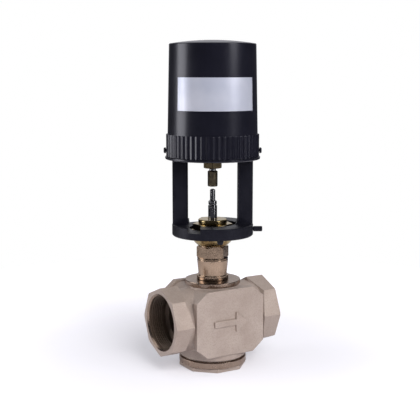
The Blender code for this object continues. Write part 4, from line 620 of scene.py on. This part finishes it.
def casting_mesh():
    """The rough casting: overlapping forms merged, with soft fillets where they meet."""
    meshes = []
    core = loose(
        "core",
        upright(
            prism("core", block_outline(-PAD_BORDER), -BLOCK_HALF_DEPTH, BLOCK_HALF_DEPTH)
        ),
    )
    bevelled(core, BLOCK_ROUND, 4)
    meshes.append(applied(core, "core"))
    discard(core)
    half = NECK_HALF
    neck = along_x(spun("neck", [(0.0, half), (NECK_R, half), (NECK_R, -half), (0.0, -half)]))
    meshes.append(moved(neck, Matrix.Translation((0.0, 0.0, PORT_Z))))
    barrel = [
        (0.0, BOSS_LOW + 1.0 * MM),
        (BOSS_GROOVE_R, BOSS_LOW + 1.0 * MM),
        (BOSS_GROOVE_R, BLOCK_HALF_HEIGHT + PORT_Z - 3.0 * MM),
        (BARREL_R, WEB_LOW),
        (BARREL_R, BARREL_BOTTOM),
        (0.0, BARREL_BOTTOM),
    ]
    meshes.append(spun("barrel", barrel))
    work = bmesh.new()
    for mesh in meshes:
        work.from_mesh(mesh)
    rough = loose("rough", mesh_of(work, "rough"))
    remesh = rough.modifiers.new("Merge", "REMESH")
    remesh.mode = "VOXEL"
    remesh.voxel_size = CAST_VOXEL
    soften = rough.modifiers.new("Fillets", "SMOOTH")
    soften.factor = 0.5
    soften.iterations = 3
    mesh = applied(rough, "casting")
    discard(rough)
    return mesh


def port_cutter(side):
    past = FACE_HALF + 1.0 * MM
    end = FACE_HALF - PORT_BORE_DEPTH
    back = CHAMBER_R + 4.0 * MM
    mouth = PORT_BORE_R + 1.8 * MM
    profile = [
        (0.0, past),
        (mouth + 1.0 * MM, past),
        (mouth, FACE_HALF),
        (PORT_BORE_R, FACE_HALF - 1.8 * MM),
        (PORT_BORE_R, end),
        (PASSAGE_R, end - 2.5 * MM),
        (PASSAGE_R, back),
        (0.0, back),
    ]
    mesh = along_x(spun("port", profile))
    mesh.transform(Matrix.Rotation(math.pi if side < 0 else 0.0, 4, "Z"))
    mesh.transform(Matrix.Translation((0.0, 0.0, PORT_Z)))
    return loose("port", mesh)


def chamber_cutter():
    profile = [
        (0.0, BOSS_TOP + MM),
        (BONNET_HOLE_R, BOSS_TOP + MM),
        (BONNET_HOLE_R, CHAMBER_TOP),
        (CHAMBER_R, CHAMBER_TOP),
        (CHAMBER_R, WEB_HIGH),
        (SEAT_HOLE_R, WEB_HIGH),
        (SEAT_HOLE_R, WEB_LOW),
        (CHAMBER_R, WEB_LOW),
        (CHAMBER_R, CAP_BORE_TOP),
        (CAP_BORE_R, CAP_BORE_TOP),
        (CAP_BORE_R, BODY_BOTTOM - MM),
        (0.0, BODY_BOTTOM - MM),
    ]
    return loose("chambers", spun("chambers", profile))


def box_object(name, low, high):
    work = bmesh.new()
    size = Vector(high) - Vector(low)
    middle = (Vector(high) + Vector(low)) / 2
    place = Matrix.Translation(middle) @ Matrix.Diagonal((*size, 1.0))
    bmesh.ops.create_cube(work, size=1.0, matrix=place)
    return loose(name, mesh_of(work, name))


def machined_rings():
    """The turned boss under the bonnet and the turned band over the bottom cap."""
    boss = [
        (0.0, BOSS_TOP),
        (BOSS_R, BOSS_TOP),
        (BOSS_R, BOSS_LOW + 0.7 * MM),
        (BOSS_GROOVE_R, BOSS_LOW - 0.3 * MM),
        (BOSS_GROOVE_R, BOSS_LOW - 4.0 * MM),
        (0.0, BOSS_LOW - 4.0 * MM),
    ]
    band = [
        (0.0, BARREL_BOTTOM + 3.0 * MM),
        (BAND_GROOVE_R, BARREL_BOTTOM + 3.0 * MM),
        (BAND_GROOVE_R, BAND_TOP),
        (BAND_R, BAND_TOP),
        (BAND_R, BODY_BOTTOM),
        (0.0, BODY_BOTTOM),
    ]
    made = []
    for name, profile in (("boss", boss), ("band", band)):
        made.append(loose(name, spun(name, softened(profile, 0.7 * MM, False))))
    return made


def make_body():
    body = loose("valve_body_cast", casting_mesh())
    low = BLOCK_HALF_DEPTH - PAD_INSET
    helpers = [pad_piece(low, PAD_HALF_DEPTH), pad_piece(-PAD_HALF_DEPTH, -low)]
    helpers += [collar_piece(1), collar_piece(-1), *machined_rings()]
    for helper in helpers:
        carve(body, helper, "UNION")
    reach = CHAMBER_R + 6.0 * MM
    inner = CHAMBER_R - 3.0 * MM
    cutters = [port_cutter(1), port_cutter(-1), chamber_cutter()]
    wide, near, far = 18 * MM, 0.5 * MM, 19 * MM
    cutters.append(
        box_object("low", (-reach, -wide, WEB_LOW - far), (-inner, wide, WEB_LOW - near))
    )
    cutters.append(
        box_object("high", (inner, -wide, WEB_HIGH + near), (reach, wide, WEB_HIGH + far))
    )
    for cutter in cutters:
        carve(body, cutter, "DIFFERENCE")
    mesh = applied(body, "valve_body_cast")
    discard(*helpers, *cutters)
    body.modifiers.clear()
    body.data = mesh
    smooth(body, 34.0)
    finished(body, "cast_bronze", STATIC, ("valve_body",))
    # Second slot: the darker bronze that paints shade on the bores.
    mesh.materials.append(LOOKS["bore_bronze_painted_shade"])
    mesh.materials.append(LOOKS["turned_bronze"])
    for face in mesh.polygons:
        face.material_index = surface_kind(face.center)


def surface_kind(place):
    """Tells the cast skin (0) from the bores (1), whose darker material is painted shade, and the
    turned mouths, boss and band (2).
    """
    across = math.hypot(place.y, place.z - PORT_Z)
    around = math.hypot(place.x, place.y)
    along = abs(place.x)
    if across < PORT_BORE_R + 0.2 * MM and FACE_HALF - 1.0 * MM > along > CHAMBER_R:
        return 1
    if across < PORT_BORE_R + 1.7 * MM and FACE_HALF > along + 0.1 * MM > FACE_HALF - 1.8 * MM:
        return 2
    if around < CHAMBER_R + 0.2 * MM and place.z < CHAMBER_TOP:
        return 1
    if place.z > BOSS_LOW - 0.2 * MM and around < BOSS_R + 0.3 * MM:
        return 2
    if place.z < BAND_TOP + 0.2 * MM and around > BAND_GROOVE_R - 1.0 * MM:
        return 2
    return 0


def make_port_thread(side):
    """The pipe thread inside a port, a helical ridge that fades out at both ends."""
    steps = 72
    start = FACE_HALF - 2.0 * MM
    turns = (PORT_BORE_DEPTH - 4.0 * MM) / THREAD_PITCH
    rings = int(turns * steps)
    work = bmesh.new()
    previous = None
    shape = ((-0.46, 0.0), (-0.1, 1.0), (0.1, 1.0), (0.46, 0.0))
    for index in range(rings + 1):
        angle = 2 * math.pi * index / steps
        fade = min(1.0, index / steps, (rings - index) / steps)
        along = start - THREAD_PITCH * index / steps
        row = []
        for share, height in shape:
            radius = PORT_BORE_R + 0.15 * MM - (THREAD_DEPTH + 0.15 * MM) * height * fade
            across, upward = radius * math.cos(angle), radius * math.sin(angle)
            row.append(work.verts.new((along + share * THREAD_PITCH, across, upward)))
        if previous:
            for a in range(len(shape) - 1):
                work.faces.new((previous[a], previous[a + 1], row[a + 1], row[a]))
        previous = row
    bmesh.ops.recalc_face_normals(work, faces=work.faces)
    mesh = mesh_of(work, "port_thread")
    mesh.transform(Matrix.Rotation(math.pi if side < 0 else 0.0, 4, "Z"))
    mesh.transform(Matrix.Translation((0.0, 0.0, PORT_Z)))
    name = "port_thread_left" if side < 0 else "port_thread_right"
    thread = loose(name, mesh)
    smooth(thread, 50.0, False)
    # The thread takes the darker bore bronze, painted shade inside the port.
    finished(thread, "bore_bronze_painted_shade", STATIC)


def make_flow_arrow():
    """A plain raised arrow on the front pad, pointing the way the water flows."""
    half, head, shaft = ARROW_HALF, ARROW_HEAD_HALF, ARROW_SHAFT_HALF
    neck = half - ARROW_HEAD_LENGTH
    outline = [
        (-half, -shaft),
        (neck, -shaft),
        (neck, -head),
        (half, 0.0),
        (neck, head),
        (neck, shaft),
        (-half, shaft),
    ]
    face = PAD_HALF_DEPTH - 0.3 * MM
    arrow = loose("flow_arrow", upright(prism("flow_arrow", outline, face, face + ARROW_HEIGHT)))
    arrow.data.transform(Matrix.Translation((0.0, 0.0, PORT_Z)))
    bevelled(arrow, 0.3 * MM, 2)
    smooth(arrow, 60.0, False)
    finished(arrow, "cast_bronze")


# =============================== bonnet and fittings =============================================
def hexagon_solid(name, corner_r, low, high, first, top_cut, bottom_cut, bore, place=STRAIGHT):
    """A hexagon with turned chamfers and a bore, with soft corners."""
    blank = loose(name, prism(name, polygon(6, corner_r, first), low - MM, high + MM))
    bevelled(blank, 0.4 * MM, 2)
    over = corner_r + 1.0 * MM
    profile = [
        (0.0, high),
        (corner_r * 0.866 + 0.2 * MM, high),
        (over, high - top_cut),
        (over, low + bottom_cut),
        (corner_r * 0.866 + 0.2 * MM, low),
        (0.0, low),
    ]
    turning = loose("turning", spun("turning", profile))
    carve(blank, turning, "INTERSECT")
    drill = None
    if bore > 0.0:
        cut = [(0.0, high + MM), (bore, high + MM), (bore, low - MM), (0.0, low - MM)]
        drill = loose("drill", spun("drill", cut))
        carve(blank, drill, "DIFFERENCE")
    mesh = applied(blank, name)
    discard(blank, turning)
    if drill:
        discard(drill)
    mesh.transform(place)
    return mesh


def make_bonnet():
    """The bonnet's turned neck from its node's levels, its hexagon and a small black stub that
    paints the vent hole's shade.
    """
    low, high = (corner.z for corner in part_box("bonnet"))
    base = BOSS_TOP + 0.3 * MM
    ring, groove, taper = base + 4.7 * MM, base + 7.5 * MM, base + 19.1 * MM
    hexagon = taper + 4.9 * MM
    undercut = hexagon + 12.5 * MM
    nose = undercut + 1.0 * MM
    profile = [
        (12.7 * MM, high),
        (13.5 * MM, high - 0.8 * MM),
        (13.5 * MM, nose),
        (15.2 * MM, nose),
        (15.2 * MM, hexagon),
        (17.0 * MM, hexagon),
        (17.1 * MM, hexagon - 1.3 * MM),
        (16.8 * MM, hexagon - 1.6 * MM),
        (16.8 * MM, hexagon - 2.2 * MM),
        (17.1 * MM, hexagon - 2.5 * MM),
        (17.0 * MM, taper),
        (16.1 * MM, groove + 2.0 * MM),
        (15.8 * MM, groove),
        (15.8 * MM, ring),
        (17.5 * MM, ring - 0.1 * MM),
        (17.5 * MM, base),
        (16.5 * MM, base),
        (16.5 * MM, low),
        (5.2 * MM, low),
        (5.2 * MM, low + 30.0 * MM),
        (9.5 * MM, low + 30.0 * MM),
        (9.5 * MM, high),
    ]
    neck = loose("bonnet_neck", spun("bonnet_neck", softened(profile, 0.35 * MM, True)))
    smooth(neck)
    finished(neck, "machined_bronze", STATIC, ("bonnet",))
    cut, bore = 1.2 * MM, 14.0 * MM
    mesh = hexagon_solid(
        "bonnet_hexagon", BONNET_HEX_R, hexagon, undercut, BONNET_HEX_TURN, cut, cut, bore
    )
    piece = loose("bonnet_hexagon", mesh)
    smooth(piece, 30.0)
    finished(piece, "machined_bronze")
    # A black stub set in the hexagon's side stands for the dark inside of a vent hole: painted
    # shade.
    vent = prism("bonnet_vent_painted_shade", polygon(16, BONNET_VENT_R, 0.0), 14.5 * MM, 17.4 * MM)
    along_x(vent)
    vent.transform(Matrix.Rotation(BONNET_VENT_TURN, 4, "Z"))
    vent.transform(Matrix.Translation((0.0, 0.0, hexagon - 0.2 * MM)))
    hole = loose("bonnet_vent_painted_shade", vent)
    bevelled(hole, 0.3 * MM, 2)
    smooth(hole, 40.0)
    finished(hole, "black_metal")


def make_fittings():
    for node in ("yoke_flange", "gland_nut"):
        round_node(node, "brass", 0.4 * MM)
    round_node("bottom_cap_gasket", "machined_bronze", 0.1 * MM, steps=64)
    round_node("stem_lock_nut", "polished_steel", 0.25 * MM, body="stem", steps=64)
    round_node("valve_stem", "polished_steel", 0.2 * MM, body="stem", steps=64)
    round_node("stem_coupling", "dull_brass", 0.25 * MM, body="drive", steps=64)
    round_node("drive_spindle", "polished_steel", 0.25 * MM, body="drive", steps=64)
    round_node("valve_plug", "steel", 0.4 * MM, body="stem", steps=96)
    round_node("plug_seal", "white_plastic", 0.3 * MM, body="stem", steps=96)
    round_node("seat_ring", "steel", 0.3 * MM, steps=96)

    low, high = (corner.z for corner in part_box("yoke_nut"))
    mesh = hexagon_solid(
        "yoke_nut_hexagon", YOKE_NUT_R, low, high, 0.0, 1.4 * MM, 0.4 * MM, 13.8 * MM, TURNED
    )
    nut = loose("yoke_nut_hexagon", mesh)
    smooth(nut, 30.0)
    finished(nut, "brass", STATIC, ("yoke_nut",))


def dress_node(node, look, bevel=0.35 * MM, angle=30.0):
    """A node whose shape is right: rounded edges, smooth shading and a material."""
    obj = frame["nodes"][node]
    obj.data.shade_smooth()
    weld = obj.modifiers.new("Weld", "WELD")
    weld.merge_threshold = 0.00001
    if bevel > 0.0:
        bevelled(obj, bevel, 2, angle)
    weighted = obj.modifiers.new("Weighted normals", "WEIGHTED_NORMAL")
    weighted.keep_sharp = False
    obj.data.materials.clear()
    obj.data.materials.append(LOOKS[look])


def dress_nodes():
    """Every node still shown takes the look of its slot."""
    looks = {entry["node"]: entry["material_slot"] for entry in frame["record"]["subparts"]}
    # The guide nut takes the dark brass, painted shade for its dark surroundings.
    looks["spindle_guide_nut"] = "olive_brass_painted_shade"
    looks["cover_screw_left"] = looks["cover_screw_right"] = "black_metal"
    for name, obj in frame["nodes"].items():
        if obj.hide_render:
            continue
        dress_node(name, looks[name], 0.0 if "gear" in name or "pinion" in name else 0.3 * MM)


# =============================== cover ===========================================================
def make_cover_shell(low, high):
    """The cover's turned shell, with a low dome inside its upper rim."""
    skirt_top = low + SKIRT_HEIGHT
    flat = COVER_TOP_R - COVER_EDGE
    profile = [(flat * index / 8, high - COVER_CROWN * (index / 8) ** 2) for index in range(8)]
    for index in range(7):
        angle = math.pi / 2 * index / 6
        drop = COVER_CROWN + COVER_EDGE * (1 - math.cos(angle))
        profile.append((COVER_TOP_R - COVER_EDGE * (1 - math.sin(angle)), high - drop))
    profile += [
        (COVER_LOW_R, skirt_top),
        (COVER_LOW_R, skirt_top - 2.0 * MM),
        (COVER_LOW_R - COVER_WALL, skirt_top - 2.0 * MM),
        (COVER_TOP_R - COVER_WALL, high - COVER_CROWN - 2.0 * MM),
        (0.0, high - COVER_CROWN - 2.0 * MM),
    ]
    shell = loose("cover_shell", moved(spun("cover_shell", profile, 160), TURNED))
    smooth(shell)
    finished(shell, "black_plastic", STATIC, ("cover",))


def make_cover_skirt(low):
    """The fluted skirt: rings of points joined into one closed band."""
    skirt_top = low + SKIRT_HEIGHT
    count = FLUTES * FLUTE_STEPS
    # level, how deep the flutes are there, and how far the ring stands in
    levels = (
        (low, 0.0, -0.3 * MM),
        (low + 0.4 * MM, 1.0, 0.0),
        (skirt_top - 0.6 * MM, 1.0, 0.0),
        (skirt_top, 0.6, -0.5 * MM),
    )
    work = bmesh.new()

    def ring(level, radius_at):
        row = []
        for index in range(count):
            angle = 2 * math.pi * index / count
            radius = radius_at(index)
            row.append(work.verts.new((radius * math.cos(angle), radius * math.sin(angle), level)))
        return row

    def fluted(strength, shift):
        def radius_at(index):
            phase = (index % FLUTE_STEPS) / FLUTE_STEPS
            dip = 0.5 - 0.5 * math.cos(2 * math.pi * phase)
            return SKIRT_R + shift - FLUTE_DEPTH * strength * dip**0.7

        return radius_at

    rings = [ring(level, fluted(strength, shift)) for level, strength, shift in levels]
    rings += [ring(level, lambda index: SKIRT_INNER_R) for level in (skirt_top, low)]
    for lower, upper in zip(rings, rings[1:] + rings[:1]):
        for index in range(count):
            following = (index + 1) % count
            work.faces.new((lower[index], lower[following], upper[following], upper[index]))
    bmesh.ops.recalc_face_normals(work, faces=work.faces)
    skirt = loose("cover_skirt", moved(mesh_of(work, "cover_skirt"), TURNED))
    smooth(skirt, 45.0)
    finished(skirt, "black_plastic")


def make_label(cover_low, cover_high):
    """A bare silver plate on the cover's front, held flat on its curve."""
    start, end = LABEL_ANGLES
    bottom, top = LABEL_LEVELS
    skirt_top = cover_low + SKIRT_HEIGHT
    straight = cover_high - 2.8 * MM - skirt_top
    columns, rows = 64, 4
    work = bmesh.new()
    grid = []
    for j in range(rows + 1):
        level = bottom + (top - bottom) * j / rows
        radius = COVER_LOW_R + (COVER_TOP_R - COVER_LOW_R) * (level - skirt_top) / straight
        radius += 0.25 * MM
        line = []
        for i in range(columns + 1):
            turn = CAMERA_AZIMUTH + start + (end - start) * i / columns
            line.append(work.verts.new((radius * math.sin(turn), -radius * math.cos(turn), level)))
        grid.append(line)
    for j in range(rows):
        for i in range(columns):
            work.faces.new((grid[j][i], grid[j][i + 1], grid[j + 1][i + 1], grid[j + 1][i]))
    label = loose("label_plate", mesh_of(work, "label_plate"))
    solid = label.modifiers.new("Thickness", "SOLIDIFY")
    solid.thickness = LABEL_THICKNESS
    solid.offset = -1.0
    smooth(label, 40.0)
    finished(label, "silver_plate", STATIC)


# =============================== camera, light and floor =========================================
def make_camera():
    back = Vector(
        (
            math.sin(CAMERA_AZIMUTH) * math.cos(CAMERA_ELEVATION),
            -math.cos(CAMERA_AZIMUTH) * math.cos(CAMERA_ELEVATION),
            math.sin(CAMERA_ELEVATION),
        )
    )
    right = Vector((math.cos(CAMERA_AZIMUTH), math.sin(CAMERA_AZIMUTH), 0.0))
    up = back.cross(right)
    data = bpy.data.cameras.new("photo_camera")
    data.sensor_width = SENSOR_WIDTH
    data.lens = FOCAL_PIXELS / PHOTO_PIXELS * SENSOR_WIDTH
    data.clip_start = 0.05
    data.clip_end = 20.0
    camera = bpy.data.objects.new("photo_camera", data)
    bpy.context.scene.collection.objects.link(camera)
    target = Vector((0.0, 0.0, AIM_HEIGHT)) + right * AIM_SIDE
    place = Matrix((right, up, back)).transposed().to_4x4()
    place.translation = target + back * CAMERA_DISTANCE
    camera.matrix_world = place
    bpy.context.scene.camera = camera
    return right, back


def area_light(name, place, aim, width, height, power, colour=(1.0, 1.0, 1.0)):
    data = bpy.data.lights.new(name, "AREA")
    data.shape = "RECTANGLE"
    data.size = width
    data.size_y = height
    data.energy = power
    data.color = colour
    light = bpy.data.objects.new(name, data)
    bpy.context.scene.collection.objects.link(light)
    light.location = place
    light.rotation_euler = (Vector(aim) - Vector(place)).to_track_quat("-Z", "Y").to_euler()
    return light


def make_lights(right, back):
    """Strips at both sides for what shines, a soft front lamp with no mirror image, and a weak
    lamp overhead."""
    middle = Vector((0.0, 0.0, 0.2))
    flat = Vector((back.x, back.y, 0.0)).normalized()
    lift = Vector((0.0, 0.0, 1.0))

    def around(degrees, distance, height):
        angle = math.radians(degrees)
        side = flat * math.cos(angle) + right * math.sin(angle)
        return side * distance + lift * height

    area_light("left_strip", around(-87.0, 1.1, 0.42), middle, 0.6, 0.8, 4.9)
    area_light("right_strip", around(56.0, 1.1, 0.75), middle + lift * 0.1, 0.4, 0.7, 3.4)
    area_light("low_strip", around(52.0, 1.1, 0.09), middle, 0.14, 0.16, 0.14)
    front = area_light("front", around(22.0, 1.2, 0.85), middle, 0.8, 0.7, 22.0)
    front.visible_glossy = False
    area_light("top", middle + lift * 0.9, middle, 0.8, 0.8, 1.5)


def make_world(back):
    """White to the camera. What shines sees a white backdrop behind and a dim room in front."""
    world = bpy.data.worlds.new("studio")
    world.use_nodes = True
    bpy.context.scene.world = world
    tree = world.node_tree
    tree.nodes.clear()
    out = tree.nodes.new("ShaderNodeOutputWorld")
    path = tree.nodes.new("ShaderNodeLightPath")

    def background(colour, strength):
        node = tree.nodes.new("ShaderNodeBackground")
        node.inputs["Color"].default_value = (*colour, 1.0)
        node.inputs["Strength"].default_value = strength
        return node.outputs["Background"]

    def either(fac, first, second):
        node = tree.nodes.new("ShaderNodeMixShader")
        tree.links.new(fac, node.inputs["Fac"])
        tree.links.new(first, node.inputs[1])
        tree.links.new(second, node.inputs[2])
        return node.outputs["Shader"]

    coords = tree.nodes.new("ShaderNodeTexCoord")
    facing = tree.nodes.new("ShaderNodeVectorMath")
    facing.operation = "DOT_PRODUCT"
    facing.inputs[1].default_value = Vector((-back.x, -back.y, 0.62)).normalized()
    tree.links.new(coords.outputs["Generated"], facing.inputs[0])
    behind = tree.nodes.new("ShaderNodeMapRange")
    behind.interpolation_type = "SMOOTHSTEP"
    behind.inputs["From Min"].default_value = 0.78
    behind.inputs["From Max"].default_value = 0.9
    tree.links.new(facing.outputs["Value"], behind.inputs["Value"])
    white = background((1.0, 1.0, 1.0), 1.0)
    lit = background((0.96, 0.97, 1.0), 0.36)
    backdrop = background((0.97, 0.97, 1.0), 0.6)
    room = either(behind.outputs["Result"], background((0.85, 0.85, 1.0), 0.05), backdrop)
    shine = tree.nodes.new("ShaderNodeMath")
    shine.operation = "MAXIMUM"
    tree.links.new(path.outputs["Is Glossy Ray"], shine.inputs[0])
    tree.links.new(path.outputs["Is Transmission Ray"], shine.inputs[1])
    rest = either(shine.outputs["Value"], lit, room)
    seen = either(path.outputs["Is Camera Ray"], rest, white)
    tree.links.new(seen, out.inputs["Surface"])


def make_floor():
    """A pale floor that looks white to the camera and still keeps the valve's cast shadow; its glow
    is weaker near the stem, a painted shade round the valve.
    """
    work = bmesh.new()
    bmesh.ops.create_circle(work, cap_ends=True, segments=96, radius=FLOOR_R)
    floor = loose("floor", mesh_of(work, "floor"))
    material = bpy.data.materials.new("floor")
    material.use_nodes = True
    tree = material.node_tree
    shader = tree.nodes["Principled BSDF"]
    shader.inputs["Base Color"].default_value = (0.62, 0.61, 0.64, 1.0)
    shader.inputs["Roughness"].default_value = 0.9
    shader.inputs["Specular IOR Level"].default_value = 0.0
    path = tree.nodes.new("ShaderNodeLightPath")
    glow = tree.nodes.new("ShaderNodeEmission")
    glow.inputs["Color"].default_value = (0.94, 0.93, 1.0, 1.0)
    coords = tree.nodes.new("ShaderNodeTexCoord")
    away = tree.nodes.new("ShaderNodeVectorMath")
    away.operation = "LENGTH"
    tree.links.new(coords.outputs["Object"], away.inputs[0])
    # The glow is weakest near the stem: a painted shade that greys the floor round the valve.
    rise = tree.nodes.new("ShaderNodeMapRange")
    rise.interpolation_type = "SMOOTHSTEP"
    rise.inputs["From Min"].default_value, rise.inputs["From Max"].default_value = SHADOW_R
    rise.inputs["To Min"].default_value, rise.inputs["To Max"].default_value = SHADOW_GLOW
    tree.links.new(away.outputs["Value"], rise.inputs["Value"])
    lift = tree.nodes.new("ShaderNodeMath")
    lift.operation = "MULTIPLY"
    tree.links.new(path.outputs["Is Camera Ray"], lift.inputs[0])
    tree.links.new(rise.outputs["Result"], lift.inputs[1])
    tree.links.new(lift.outputs["Value"], glow.inputs["Strength"])
    total = tree.nodes.new("ShaderNodeAddShader")
    tree.links.new(shader.outputs["BSDF"], total.inputs[0])
    tree.links.new(glow.outputs["Emission"], total.inputs[1])
    tree.links.new(total.outputs["Shader"], tree.nodes["Material Output"].inputs["Surface"])
    floor.data.materials.append(material)


# =============================== the scene =======================================================
bpy.context.scene.view_settings.view_transform = "Standard"
view_right, view_back = make_camera()
make_lights(view_right, view_back)
make_world(view_back)
make_floor()
make_body()
for port_side in (1, -1):
    make_port_thread(port_side)
make_flow_arrow()
make_bonnet()
make_fittings()
cover_low, cover_high = (corner.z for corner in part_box("cover"))
make_cover_shell(cover_low, cover_high)
make_cover_skirt(cover_low)
make_label(cover_low, cover_high)
dress_nodes()
